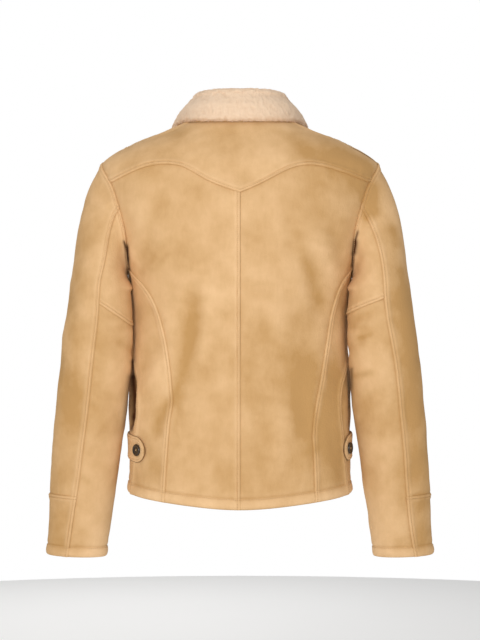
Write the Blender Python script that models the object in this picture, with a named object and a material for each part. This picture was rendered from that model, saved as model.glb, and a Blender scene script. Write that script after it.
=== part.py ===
"""A suede shearling jacket with a turned-down wool collar, filled out as when worn and hollow inside.

Frame: metres, +Z up, +X to the wearer's left, +Y to the back. The origin is on the middle of the neck, level
with the inner ends of the shoulders, where the wearer's shoulders carry the jacket.

The body is a stack of horizontal rounded sections, and each sleeve is a cap that runs from the armhole into a
stack of oval sections. Every cut piece is a wall on one of these two surfaces, between its seam lines. Two
pieces that meet at a seam are cut along the same points, half the seam gap to either side.
"""
import math

import bmesh
import bpy
import numpy as np

# ---------------------------------------------------------------- driving dimensions, metres and degrees
HIDE = 0.005  # suede outside, clipped wool inside
SEAM_GAP = 0.0003
LAP = 0.020  # each front goes this far past the centre front
LAP_CLEARANCE = 0.0012
LAP_RISE_ANGLE = 8.0  # the upper front rises over the lower one from here
LAP_MARGIN_ANGLE = 2.5  # to here, both before the lower one's edge
BODY_GIRTH_RADIUS = 0.165  # turns an angle round the body into a length, for the folds
SLEEVE_GIRTH_RADIUS = 0.055

# A row for each horizontal section of the body, from neck to hem.
BODY_COLUMNS = ("height", "half_width", "back_depth", "front_depth", "squareness")
BODY_SECTIONS = (
    (0.012, 0.0710, 0.066, 0.056, 2.00),
    (-0.005, 0.0845, 0.074, 0.066, 2.00),
    (-0.017, 0.1115, 0.083, 0.078, 2.05),
    (-0.031, 0.1435, 0.090, 0.087, 2.10),
    (-0.051, 0.1915, 0.100, 0.097, 2.15),
    (-0.065, 0.2175, 0.106, 0.103, 2.15),
    (-0.078, 0.2335, 0.111, 0.107, 2.20),
    (-0.105, 0.2370, 0.117, 0.113, 2.25),
    (-0.150, 0.2275, 0.123, 0.121, 2.35),
    (-0.192, 0.2110, 0.125, 0.126, 2.45),
    (-0.235, 0.1965, 0.125, 0.129, 2.45),
    (-0.262, 0.1890, 0.124, 0.130, 2.40),
    (-0.300, 0.1852, 0.122, 0.130, 2.26),
    (-0.350, 0.1835, 0.119, 0.129, 2.20),
    (-0.430, 0.1875, 0.118, 0.127, 2.26),
    (-0.500, 0.1890, 0.120, 0.126, 2.40),
    (-0.570, 0.1865, 0.122, 0.126, 2.50),
    (-0.660, 0.1915, 0.123, 0.126, 2.50),
)

# The armhole: an oval seen from the side, laid on the body. Its angle is 0 on top, 90 at the back, 180 below.
ARMHOLE_TOP = -0.076
ARMHOLE_BOTTOM = -0.262
ARMHOLE_BACK_REACH = 0.068
ARMHOLE_FRONT_REACH = 0.066
SHOULDER_SEAM_AT = -18
YOKE_AT = 53
SLEEVE_BACK_SEAM_AT = 83
PRINCESS_AT = 152
UNDERARM_AT = 180
SLEEVE_FRONT_SEAM_AT = -125

# Neckline, hem and the seams that cross the body.
NECK_BACK_HEIGHT = -0.005
NECK_FRONT_DROP = 0.080
HEM_SIDE_HEIGHT = -0.6328
HEM_BACK_DIP = 0.0213
HEM_FRONT_DIP = 0.012
HEM_DIP_POWER = 1.5

YOKE_COLUMNS = ("reach", "left_height", "right_height")
YOKE_SEAM = (
    (0.000, -0.1346, -0.1346),
    (0.033, -0.1230, -0.1200),
    (0.054, -0.1138, -0.1090),
    (0.077, -0.1002, -0.0970),
    (0.095, -0.0910, -0.0905),
    (0.115, -0.0870, -0.0880),
    (0.147, -0.0890, -0.0925),
    (0.177, -0.0990, -0.1012),
    (0.212, -0.1150, -0.1125),
)
SHOULDER_BEND_FROM = 0.19  # further out, the shoulder seam bends to meet its mark on the armhole
SHOULDER_LOWEST = -0.120  # the shoulder's slope lies between these heights
SHOULDER_HIGHEST = 0.010
SHOULDER_COLUMNS = ("reach", "toward_back")
SHOULDER_SEAM = (
    (0.086, 0.032),
    (0.120, 0.038),
    (0.148, 0.027),
    (0.172, 0.006),
    (0.200, -0.011),
    (0.232, -0.020),
)
SEAM_EASE = 0.04  # below the armhole, a seam takes this far to reach its table's angle
SEAM_COLUMNS = ("height", "left_angle", "right_angle")
PRINCESS_SEAM = (
    (-0.255, 78.5, 78.0),
    (-0.275, 69.5, 71.5),
    (-0.301, 61.8, 67.0),
    (-0.335, 56.7, 63.8),
    (-0.414, 50.2, 58.2),
    (-0.452, 48.5, 55.0),
    (-0.511, 48.2, 50.6),
    (-0.600, 49.7, 49.8),
    (-0.660, 50.0, 49.6),
)
SIDE_SEAM = (
    (-0.262, 90.0, 90.0),
    (-0.320, 89.0, 89.0),
    (-0.370, 86.0, 86.5),
    (-0.413, 80.0, 80.0),
    (-0.450, 73.0, 72.0),
    (-0.480, 70.5, 69.0),
    (-0.527, 72.2, 70.0),
    (-0.585, 74.7, 73.0),
    (-0.660, 77.0, 76.0),
)

# A row for each oval section of the sleeve below the cap. The tilt lifts its outer end.
CUFF_HEIGHT = -0.744
SLEEVE_COLUMNS = ("height", "centre_x", "centre_y", "half_width", "half_depth", "tilt")
SLEEVE_SECTIONS = (
    (-0.300, 0.2340, 0.043, 0.0515, 0.0560, 2.0),
    (-0.350, 0.2352, 0.049, 0.0567, 0.0530, 3.0),
    (-0.390, 0.2392, 0.047, 0.0587, 0.0510, 3.5),
    (-0.430, 0.2433, 0.042, 0.0597, 0.0495, 4.0),
    (-0.500, 0.2508, 0.031, 0.0598, 0.0475, 4.0),
    (-0.553, 0.2579, 0.021, 0.0584, 0.0455, 4.0),
    (-0.608, 0.2639, 0.010, 0.0567, 0.0430, 3.5),
    (-0.663, 0.2702, 0.001, 0.0542, 0.0405, 3.0),
    (-0.718, 0.2761, -0.006, 0.0511, 0.0380, 2.5),
    (-0.760, 0.2804, -0.011, 0.0496, 0.0365, 2.0),
)
SLEEVE_SEAM_COLUMNS = ("height", "left_back", "right_back", "front")
SLEEVE_SEAMS = (
    (-0.300, 93.2, 87.0, -125.0),
    (-0.350, 91.0, 82.5, -125.0),
    (-0.430, 89.2, 76.5, -125.0),
    (-0.500, 88.2, 76.0, -124.0),
    (-0.600, 85.8, 77.0, -122.0),
    (-0.700, 79.5, 76.5, -120.0),
    (-0.760, 76.0, 69.0, -119.0),
)
SLEEVE_SEAM_BOW = {"left_back": 8.0, "right_back": 0.0, "front": 0.0}  # how far a seam swings round the arm in the cap
# Heights of the elbow seam at the sleeve's back seam, at the inside of the arm and at the front seam.
ELBOW_HEIGHTS = {"left": (-0.316, -0.350, -0.335), "right": (-0.3075, -0.332, -0.335)}
LOW_SEAM_HEIGHT = -0.640

# The way the cloth leaves the armhole, as outward, backward and upward shares. Each is a value on top of the
# shoulder and what the underside adds to it.
CAP_OUT = (0.56, 0.32)
CAP_BACK = (0.20, 0.18)
CAP_UP = (-0.85, 0.25)
CAP_PROBE = 0.002  # a short way down the sleeve, to find its direction
CREASE_PROBE = 0.004  # a short way into the sleeve, as a station
CREASE_FROM = -0.2  # at this cosine between body and sleeve each keeps its own normal
CREASE_RANGE = 0.7  # and this much further on they share one

# The largest folds, as soft troughs. Each row: angle and height of one end, then of the other, half width, depth.
BODY_FOLDS = (
    (35.0, -0.315, 44.0, -0.480, 0.020, 0.004),
    (51.5, -0.475, 57.0, -0.527, 0.014, 0.003),
    (-47.5, -0.250, -56.0, -0.325, 0.018, 0.003),
    (-47.0, -0.410, -45.0, -0.530, 0.024, 0.004),
    (83.0, -0.385, 78.0, -0.450, 0.014, 0.005),
    (77.5, -0.455, 78.5, -0.500, 0.014, 0.005),
    (-84.0, -0.390, -82.0, -0.520, 0.016, 0.004),
    (150.0, -0.360, 112.0, -0.400, 0.022, 0.004),
    (-148.0, -0.340, -114.0, -0.392, 0.022, 0.004),
)
FOLD_RUN_IN = 0.02  # a sleeve's folds begin this far below the cap
SLEEVE_FOLDS = (
    (200.0, -0.350, 262.0, -0.372, 0.016, 0.005),
    (204.0, -0.402, 258.0, -0.392, 0.014, 0.004),
)

# The collar. Each row is a section through it: where the fold's middle lies from the neck seam, the height
# at which the fall's edge meets the body, and how far it stays off the body there.
COLLAR_COLUMNS = ("angle", "fold_inward", "fold_up", "edge_height", "edge_lift")
COLLAR_SECTIONS = (
    (0.0, 0.0100, 0.0355, -0.0150, 0.0016),
    (45.0, 0.0125, 0.0360, -0.0138, 0.0016),
    (90.0, 0.0150, 0.0350, -0.0128, 0.0018),
    (115.0, 0.0115, 0.0340, -0.0300, 0.0048),
    (140.0, 0.006, 0.027, -0.0800, 0.0040),
    (161.0, 0.000, 0.021, -0.1320, 0.0025),
)
COLLAR_ROLL = 0.011  # radius of the fold's outside
COLLAR_SLIT = 0.0012  # half the slit between stand and fall
COLLAR_EDGE_THICKNESS = 0.0085
COLLAR_ROLL_STEPS = 5
COLLAR_FALL_BULGE = 0.003

# Side tabs and buttons.
TAB_ABOVE_HEM = 0.0785
TAB_HALF_WIDTH = 0.022
TAB_LENGTH_ANGLE = 38.0
TAB_BACK_ANGLE = {"left": 62.3, "right": 69.3}
BUTTON_FROM_TAB_END = 5.3
TAB_THICKNESS = 0.003
TAB_LIFT = 0.0005
TAB_STEPS = 12
TAB_STEP_POWER = 1.5  # closer steps at the round end
TAB_END_STEPS = 4
TAB_TIP_SHARE = 0.03  # the round end's tip keeps this share of the squared half width
BUTTON_RADIUS = 0.010
BUTTON_THICKNESS = 0.0042
BUTTON_SIDES = 12
BUTTON_HOLE_RADIUS = 0.0009
BUTTON_HOLE_REACH = 0.0023
BUTTON_HOLE_SIDES = 6
BUTTON_HOLE_MARGIN = 0.001  # a hole's cutter goes this far past the button
BUTTON_LIFT = 0.0006
# Radius and rise of the turned outline, as shares of the radius and the thickness.
BUTTON_PROFILE = ((0.72, 0.0), (0.95, 0.30), (1.0, 0.62), (0.93, 0.95), (0.80, 1.0), (0.66, 0.72))
FRONT_BUTTON_HEIGHTS = (-0.150, -0.260, -0.370, -0.480, -0.590)

# Steps along each stretch of seam, the same for both pieces that meet there.
STEPS = {
    "shoulder": 5,
    "neck_back": 5,
    "neck_front": 7,
    "armhole_front_high": 6,
    "armhole_front_low": 3,
    "armhole_yoke": 4,
    "armhole_back_high": 2,
    "armhole_back_low": 4,
    "armhole_side": 3,
    "body_low": 10,
    "sleeve_high": 5,
    "sleeve_middle": 7,
    "sleeve_low": 2,
}

SUEDE = ("suede", (0.70, 0.45, 0.22), 0.9)
WOOL = ("wool", (0.84, 0.66, 0.48), 1.0)
HORN = ("dark_horn", (0.03, 0.018, 0.012), 0.3)


# ---------------------------------------------------------------- curves through tables
def column(table, names, name):
    """One named column of a table, as an array."""
    return np.array([row[names.index(name)] for row in table], dtype=float)


def curve_through(knots, values, at):
    """The smooth curve through the knots: a cubic between each two, with slope and bend carried across."""
    order = np.argsort(knots)
    x, y = np.asarray(knots)[order], np.asarray(values)[order]
    step, rise = np.diff(x), np.diff(y) / np.diff(x)
    size = len(x)
    system, bend_of = np.eye(size), np.zeros(size)
    for row in range(1, size - 1):
        system[row, row - 1:row + 2] = step[row - 1], 2 * (step[row - 1] + step[row]), step[row]
        bend_of[row] = 6 * (rise[row] - rise[row - 1])
    bend = np.linalg.solve(system, bend_of)
    at = np.clip(np.asarray(at, dtype=float), x[0], x[-1])
    cell = np.clip(np.searchsorted(x, at) - 1, 0, size - 2)
    high, low = at - x[cell], x[cell + 1] - at
    width = step[cell]
    bent = (bend[cell] * (low ** 3 / width - width * low) + bend[cell + 1] * (high ** 3 / width - width * high)) / 6
    return bent + (y[cell] * low + y[cell + 1] * high) / width


def read(table, names, name, at, along="height"):
    """A table's column at any height, or along another of its columns."""
    return curve_through(column(table, names, along), column(table, names, name), at)


def ease(value):
    """0 below 0, 1 above 1, smooth between."""
    value = np.clip(value, 0, 1)
    return value * value * (3 - 2 * value)


# ---------------------------------------------------------------- folds
def fold_depth(folds, angle, height, radius):
    """How far the folds sink the cloth: each is a bell-shaped trough about a line from its start to its end."""
    depth = np.zeros(np.broadcast(angle, height).shape)
    for start_angle, start_height, end_angle, end_height, half_width, deepest in folds:
        start = np.array((math.radians(start_angle) * radius, start_height))
        run = np.array((math.radians(end_angle) * radius, end_height)) - start
        across, up = angle * radius - start[0], height - start[1]
        along = np.clip((across * run[0] + up * run[1]) / (run @ run), 0, 1)
        off = (across - along * run[0]) ** 2 + (up - along * run[1]) ** 2
        depth = depth + deepest * np.exp(-off / half_width ** 2)
    return depth


# ---------------------------------------------------------------- the body
def body_sizes(height):
    """Half width, back depth, front depth and squareness of the body's section at a height."""
    return [read(BODY_SECTIONS, BODY_COLUMNS, name, height) for name in BODY_COLUMNS[1:]]


def body_point(angle, height, lift=0.0):
    """A point of the body: radius 1 / ((|sin|/half_width)^n + (|cos|/depth)^n)^(1/n) about the middle line."""
    angle, height = np.broadcast_arrays(np.asarray(angle, dtype=float), np.asarray(height, dtype=float))
    half_width, back, front, power = body_sizes(height)
    sine, cosine = np.sin(angle), np.cos(angle)
    depth = np.where(cosine > 0, back, front)
    radius = ((np.abs(sine) / half_width) ** power + (np.abs(cosine) / depth) ** power) ** (-1 / power)
    radius = radius - fold_depth(BODY_FOLDS, angle, height, BODY_GIRTH_RADIUS) + lift
    return np.stack((radius * sine, radius * cosine, height), axis=-1)


def outward(surface, first, second, step=1e-3):
    """Unit normals of a surface of two parameters, from the slopes either side of each point."""
    along_first = surface(first + step, second) - surface(first - step, second)
    along_second = surface(first, second + step) - surface(first, second - step)
    normal = np.cross(along_second, along_first)
    return normal / np.linalg.norm(normal, axis=-1, keepdims=True)


def side_reach(toward_back, height):
    """How far out the body lies at a depth and a height."""
    half_width, back, front, power = body_sizes(height)
    depth = np.where(toward_back > 0, back, front)
    return half_width * (1 - (np.abs(toward_back) / depth) ** power) ** (1 / power)


def back_depth_at(reach, height):
    """How far back the body lies at a reach from the middle and a height."""
    half_width, back, _front, power = body_sizes(height)
    return back * (1 - (np.abs(reach) / half_width) ** power) ** (1 / power)


def height_on_shoulder(reach, toward_back):
    """The height where the shoulder's slope passes a reach and a depth, found by halving the interval."""
    low = np.full(np.shape(reach), SHOULDER_LOWEST)
    high = np.full(np.shape(reach), SHOULDER_HIGHEST)
    for _ in range(40):
        middle = (low + high) / 2
        half_width, back, front, power = body_sizes(middle)
        depth = np.where(toward_back > 0, back, front)
        inside = (np.abs(reach) / half_width) ** power + (np.abs(toward_back) / depth) ** power < 1
        low, high = np.where(inside, middle, low), np.where(inside, high, middle)
    return (low + high) / 2


# Seam lines on the body. Each gives rows of (angle, height), angles in radians on the +X side.
def armhole(turn):
    """The armhole at its own angles in degrees."""
    turn = np.radians(turn)
    middle, half = (ARMHOLE_TOP + ARMHOLE_BOTTOM) / 2, (ARMHOLE_TOP - ARMHOLE_BOTTOM) / 2
    height = middle + half * np.cos(turn)
    sine = np.sin(turn)
    toward_back = np.where(sine > 0, ARMHOLE_BACK_REACH, ARMHOLE_FRONT_REACH) * sine
    return np.stack((np.arctan2(side_reach(toward_back, height), toward_back), height), axis=-1)


def neckline(angle):
    """Level round the back, and a dip that grows with the square of the sine in front."""
    front = np.clip(np.abs(angle) - math.pi / 2, 0, None)
    return np.stack((angle, NECK_BACK_HEIGHT - NECK_FRONT_DROP * np.sin(front) ** 2), axis=-1)


def hem(angle):
    """Level at the sides, dipping to the centre back and a little to the centre front."""
    cosine = np.cos(angle)
    dip = np.where(cosine > 0, HEM_BACK_DIP, HEM_FRONT_DIP) * np.abs(cosine) ** HEM_DIP_POWER
    return np.stack((angle, HEM_SIDE_HEIGHT - dip), axis=-1)


def yoke_seam(side, steps):
    """From the centre back to the armhole."""
    reach = np.linspace(0, 1, steps + 1)
    end_angle, end_height = armhole(np.array(float(YOKE_AT)))
    end_reach = body_point(end_angle, end_height)[0]
    reach = reach * end_reach
    height = read(YOKE_SEAM, YOKE_COLUMNS, side + "_height", reach, along="reach")
    height = height + (end_height - height[-1]) * ease(reach / end_reach * 2 - 1)
    return np.stack((np.arctan2(reach, back_depth_at(reach, height)), height), axis=-1)


def shoulder_seam(steps):
    """From the armhole up to the neckline."""
    end_angle, end_height = armhole(np.array(float(SHOULDER_SEAM_AT)))
    end = body_point(end_angle, end_height)
    start_reach = SHOULDER_SEAM[0][0]
    reach = np.linspace(end[0], start_reach, steps + 1)
    toward_back = read(SHOULDER_SEAM, SHOULDER_COLUMNS, "toward_back", reach, along="reach")
    bend = ease((reach - SHOULDER_BEND_FROM) / (end[0] - SHOULDER_BEND_FROM))
    toward_back = toward_back + (end[1] - toward_back[0]) * bend
    angle = np.arctan2(reach, toward_back)
    height = height_on_shoulder(reach, toward_back)
    line = np.stack((angle, height), axis=-1)
    line[0] = end_angle, end_height
    line[-1] = neckline(angle[-1])
    return line


def down_seam(table, side, start, steps):
    """From a point of the armhole down to the hem, through a table of angles."""
    end_angle = math.radians(read(table, SEAM_COLUMNS, side + "_angle", HEM_SIDE_HEIGHT))
    end = hem(np.array(end_angle))
    height = np.linspace(start[1], end[1], steps + 1)
    angle = np.radians(read(table, SEAM_COLUMNS, side + "_angle", height))
    angle = angle + (start[0] - angle[0]) * (1 - ease((start[1] - height) / SEAM_EASE))
    angle[-1] = end_angle
    return np.stack((angle, height), axis=-1)


def lap_angle():
    """The lap at the centre front, as an angle at the hem."""
    return LAP / BODY_SECTIONS[-1][BODY_COLUMNS.index("front_depth")]


def lap_start():
    """The angle at which the upper front begins to rise over the lower one."""
    return math.pi - lap_angle() - math.radians(LAP_RISE_ANGLE)


def neck_angles():
    """Angles along the neckline from the centre back to the shoulder seam, and from there to the lap."""
    shoulder = shoulder_seam(STEPS["shoulder"])[-1][0]
    return between(0.0, shoulder, STEPS["neck_back"]), between(shoulder, lap_start(), STEPS["neck_front"])


def between(first, last, steps):
    """Even steps from one value or point to another."""
    return np.linspace(first, last, steps + 1)


def join(*lines):
    """Lines end to end, with each shared point once."""
    return np.concatenate([lines[0]] + [line[1:] for line in lines[1:]])


def patch(bottom, top, first, last):
    """Fills the four edges of a piece: the mean of the two ways across, less what both count."""
    across = np.linspace(0, 1, len(bottom))[None, :, None]
    up = np.linspace(0, 1, len(first))[:, None, None]
    rows = (1 - across) * first[:, None] + across * last[:, None]
    columns = (1 - up) * bottom[None] + up * top[None]
    corners = (1 - up) * ((1 - across) * bottom[0] + across * bottom[-1])
    corners = corners + up * ((1 - across) * top[0] + across * top[-1])
    return rows + columns - corners


# ---------------------------------------------------------------- the sleeve
def sleeve_station(height):
    """The sleeve's own measure of length: 0 at the armhole, 1 under the cap, 2 at the cuff."""
    top = SLEEVE_SECTIONS[0][0]
    return 1 + (top - height) / (top - CUFF_HEIGHT)


def sleeve_height(station):
    """The height of a station below the cap."""
    top = SLEEVE_SECTIONS[0][0]
    return top + (station - 1) * (CUFF_HEIGHT - top)


def sleeve_oval(turn, height):
    """A tilted oval section: centre + half_width * cos outwards + half_depth * sin to the back."""
    centre_x, centre_y, half_width, half_depth, tilt = (
        read(SLEEVE_SECTIONS, SLEEVE_COLUMNS, name, height) for name in SLEEVE_COLUMNS[1:])
    tilt = np.radians(tilt)
    sunk = fold_depth(SLEEVE_FOLDS, np.mod(turn, 2 * math.pi), height, SLEEVE_GIRTH_RADIUS)
    sunk = sunk * ease((SLEEVE_SECTIONS[0][0] - height) / FOLD_RUN_IN)
    out, back = np.cos(turn), np.sin(turn)
    reach = half_width * out - sunk * out
    return np.stack((centre_x + reach * np.cos(tilt), centre_y + (half_depth - sunk) * back,
                     height + reach * np.sin(tilt)), axis=-1)


def cap_start(turn):
    """The way the cloth leaves the armhole: out and down, and more outwards under the arm."""
    below = (1 - np.cos(turn)) / 2
    way = np.stack((CAP_OUT[0] + CAP_OUT[1] * below ** 3, CAP_BACK[0] * np.sin(turn) + CAP_BACK[1] * below ** 2,
                    CAP_UP[0] + CAP_UP[1] * below ** 3), axis=-1)
    return way / np.linalg.norm(way, axis=-1, keepdims=True)


def sleeve_point(turn, station):
    """The cap is a cubic from the armhole to the first oval, with both directions kept. Ovals follow below."""
    turn, station = np.broadcast_arrays(np.asarray(turn, dtype=float), np.asarray(station, dtype=float))
    top = SLEEVE_SECTIONS[0][0]
    ring = armhole(np.degrees(turn))
    start, end = body_point(ring[..., 0], ring[..., 1]), sleeve_oval(turn, top)
    length = np.linalg.norm(end - start, axis=-1, keepdims=True)
    leave = cap_start(turn) * length
    arrive = (sleeve_oval(turn, top - CAP_PROBE) - end) / CAP_PROBE * length
    part = np.clip(station, -0.01, 1)[..., None]
    cap = ((2 * part ** 3 - 3 * part ** 2 + 1) * start + (part ** 3 - 2 * part ** 2 + part) * leave
           + (3 * part ** 2 - 2 * part ** 3) * end + (part ** 3 - part ** 2) * arrive)
    return np.where(station[..., None] < 1, cap, sleeve_oval(turn, sleeve_height(np.maximum(station, 1))))


def sleeve_seam_turn(which, station):
    """The turn of a sleeve seam: from its place on the armhole to the table's angles below the cap."""
    start = SLEEVE_FRONT_SEAM_AT if which == "front" else SLEEVE_BACK_SEAM_AT
    below = read(SLEEVE_SEAMS, SLEEVE_SEAM_COLUMNS, which, sleeve_height(np.maximum(station, 1)))
    bow = SLEEVE_SEAM_BOW[which] * np.sin(math.pi * np.clip(station, 0, 1)) ** 2
    return np.radians(start + (below - start) * ease(station) + bow)


def sleeve_seam(which, start, end, steps):
    """A stretch of a sleeve seam between two stations, as rows of turn and station."""
    station = between(start, end, steps)
    return np.stack((sleeve_seam_turn(which, station), station), axis=-1)


def armhole_turns(*marks_and_steps):
    """Turns round the armhole, in radians, with an even number of steps between each two marks."""
    marks, steps = marks_and_steps[0::2], marks_and_steps[1::2]
    turns = join(*[between(a, b, n) for a, b, n in zip(marks[:-1], marks[1:], steps)])
    return np.radians(turns)


# ---------------------------------------------------------------- walls
def shared_armhole_normals(turn):
    """Normals of body and sleeve at the armhole: halfway between the two, except in the crease under the arm."""
    ring = armhole(np.degrees(turn))
    body = outward(body_point, ring[..., 0], ring[..., 1])
    sleeve = outward(sleeve_point, turn, np.full(np.shape(turn), CREASE_PROBE))
    middle = body + sleeve
    middle = middle / np.linalg.norm(middle, axis=-1, keepdims=True)
    share = ease((np.sum(body * sleeve, axis=-1, keepdims=True) - CREASE_FROM) / CREASE_RANGE)
    results = []
    for own in (body, sleeve):
        mixed = own + (middle - own) * share
        results.append(mixed / np.linalg.norm(mixed, axis=-1, keepdims=True))
    return results


def draw_in(points, normals):
    """Moves the border points of a grid half a seam gap into the piece, along its surface."""
    moved = points.copy()
    borders = (
        ((0, slice(None)), (1, slice(None))),
        ((-1, slice(None)), (-2, slice(None))),
        ((slice(None), 0), (slice(None), 1)),
        ((slice(None), -1), (slice(None), -2)),
    )
    for border, inner in borders:
        line = points[border]
        along = np.gradient(line, axis=0)
        across = np.cross(normals[border], along)
        across = across / np.linalg.norm(across, axis=-1, keepdims=True)
        toward = np.sign(np.sum(across * (points[inner] - line), axis=-1, keepdims=True))
        moved[border] += across * toward * SEAM_GAP / 2
    return moved


def grid_faces(rows, columns, first=0):
    """Corner numbers of the four-sided faces of a grid of rows x columns points."""
    corner = first + np.arange(rows * columns).reshape(rows, columns)
    return np.stack((corner[:-1, :-1], corner[:-1, 1:], corner[1:, 1:], corner[1:, :-1]), -1).reshape(-1, 4)


def wall_between(outer, inner):
    """Points and faces of the closed wall between two grids of the same size, joined round their rims."""
    rows, columns = outer.shape[:2]
    count = rows * columns
    number = np.arange(count).reshape(rows, columns)
    rim = np.concatenate((number[0, :-1], number[:-1, -1], number[-1, :0:-1], number[:0:-1, 0]))
    after = np.roll(rim, -1)
    edge = np.stack((rim, after, after + count, rim + count), -1)
    faces = np.concatenate((grid_faces(rows, columns), grid_faces(rows, columns, count), edge))
    return np.concatenate((outer.reshape(-1, 3), inner.reshape(-1, 3))), faces.tolist()


def make_material(look):
    """A plain material of a colour and roughness."""
    name, colour, roughness = look
    if name in bpy.data.materials:
        return bpy.data.materials[name]
    material = bpy.data.materials.new(name)
    material.use_nodes = True
    shader = material.node_tree.nodes["Principled BSDF"]
    shader.inputs["Base Color"].default_value = (*colour, 1)
    shader.inputs["Roughness"].default_value = roughness
    shader.inputs["Metallic"].default_value = 0.0
    return material


def make_object(name, points, faces, look, sharp=60):
    """A closed solid with its faces turned outwards."""
    mesh = bpy.data.meshes.new(name)
    mesh.from_pydata(points.tolist(), [], faces)
    work = bmesh.new()
    work.from_mesh(mesh)
    bmesh.ops.triangulate(work, faces=work.faces[:])
    bmesh.ops.recalc_face_normals(work, faces=work.faces[:])
    work.to_mesh(mesh)
    work.free()
    mesh.shade_smooth()
    mesh.set_sharp_from_angle(angle=math.radians(sharp))
    mesh.materials.append(make_material(look))
    made = bpy.data.objects.new(name, mesh)
    bpy.context.scene.collection.objects.link(made)
    return made


def tube_faces(rings, around):
    """Faces of a closed tube of rings of points, with a flat cap at each end."""
    number = np.arange(rings * around).reshape(rings, around)
    after = np.roll(number, -1, axis=1)
    sides = np.stack((number[:-1], after[:-1], after[1:], number[1:]), axis=-1).reshape(-1, 4)
    return sides.tolist() + [number[0].tolist(), number[-1].tolist()]


def mirrored(points, side):
    """The points on the wearer's left, or their mirror image on the right."""
    return points * np.array((1 if side == "left" else -1, 1, 1))


def make_panel(name, surface, domain, side, border_normals=None, lift=None):
    """A wall on a surface: its outside on the surface, its inside one hide further in."""
    first, second = domain[..., 0], domain[..., 1]
    outer = surface(first, second)
    normals = outward(surface, first, second)
    if border_normals is not None:
        for place, values in border_normals:
            normals[place] = values
    if lift is not None:
        outer = outer + normals * lift[..., None]
    outer = draw_in(outer, normals)
    points, faces = wall_between(outer, outer - normals * HIDE)
    return make_object(name, mirrored(points, side), faces, SUEDE)


# ---------------------------------------------------------------- body pieces
def back_edges(side):
    """Edges of a back panel and of the side panel next to it."""
    turns = armhole_turns(YOKE_AT, STEPS["armhole_back_high"], SLEEVE_BACK_SEAM_AT, STEPS["armhole_back_low"],
                          PRINCESS_AT)
    arm = armhole(np.degrees(turns))
    princess = down_seam(PRINCESS_SEAM, side, arm[-1], STEPS["body_low"])
    return turns, arm, princess


def make_back(side):
    """A back panel: yoke seam above, centre back, hem, then princess seam and armhole."""
    turns, arm, princess = back_edges(side)
    top = yoke_seam(side, STEPS["shoulder"] + STEPS["neck_back"])
    outer_edge = join(princess[::-1], arm[::-1])
    centre = between(hem(np.array(0.0)), top[0], len(outer_edge) - 1)
    bottom = hem(between(0.0, princess[-1][0], len(top) - 1))
    domain = patch(bottom, top, centre, outer_edge)
    body_normals, _ = shared_armhole_normals(turns)
    place = (slice(STEPS["body_low"], None), -1)
    return make_panel("back_" + side, mirrored_body(side), domain, side, [(place, body_normals[::-1])])


def mirrored_body(side):
    """The body surface of one side, seen as if on the left, so that each side keeps its own folds."""
    sign = 1 if side == "left" else -1

    def surface(angle, height):
        return body_point(sign * angle, height) * np.array((sign, 1, 1))
    return surface


def make_side(side):
    """A side panel between princess seam and side seam."""
    _, arm, princess = back_edges(side)
    turns = armhole_turns(PRINCESS_AT, STEPS["armhole_side"], UNDERARM_AT)
    top = armhole(np.degrees(turns))
    seam = down_seam(SIDE_SEAM, side, top[-1], STEPS["body_low"])
    bottom = hem(between(princess[-1][0], seam[-1][0], STEPS["armhole_side"]))
    domain = patch(bottom, top, princess[::-1], seam[::-1])
    body_normals, _ = shared_armhole_normals(turns)
    return make_panel("side_" + side, mirrored_body(side), domain, side, [((-1, slice(None)), body_normals)])


def make_front(side):
    """A front: side seam and armhole, shoulder seam and neckline, and an edge lapped over the centre."""
    turns = armhole_turns(UNDERARM_AT - 360, STEPS["armhole_front_low"], SLEEVE_FRONT_SEAM_AT,
                          STEPS["armhole_front_high"], SHOULDER_SEAM_AT)
    arm = armhole(np.degrees(turns))
    seam = down_seam(SIDE_SEAM, side, arm[0], STEPS["body_low"])
    shoulder = shoulder_seam(STEPS["shoulder"])
    lap, raised_from = lap_angle(), lap_start()
    raised_to = math.pi - lap - math.radians(LAP_MARGIN_ANGLE)
    neck = neckline(neck_angles()[1])
    top = join(shoulder, neck)
    outer_edge = join(seam[::-1], arm)
    bottom = hem(between(seam[-1][0], raised_from, len(top) - 1))
    inner_edge = between(bottom[-1], top[-1], len(outer_edge) - 1)
    domain = patch(bottom, top, outer_edge, inner_edge)
    for angle in (raised_to, math.pi, math.pi + lap):
        low, high = hem(np.array(angle)), neckline(np.array(angle))
        domain = np.concatenate((domain, between(low, high, len(outer_edge) - 1)[:, None]), axis=1)
    body_normals, _ = shared_armhole_normals(turns)
    place = (slice(STEPS["body_low"], None), 0)
    lift = None
    if side == "left":
        lift = (HIDE + LAP_CLEARANCE) * ease((domain[..., 0] - raised_from) / (raised_to - raised_from))
    return make_panel("front_" + side, mirrored_body(side), domain, side, [(place, body_normals)], lift)


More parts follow.
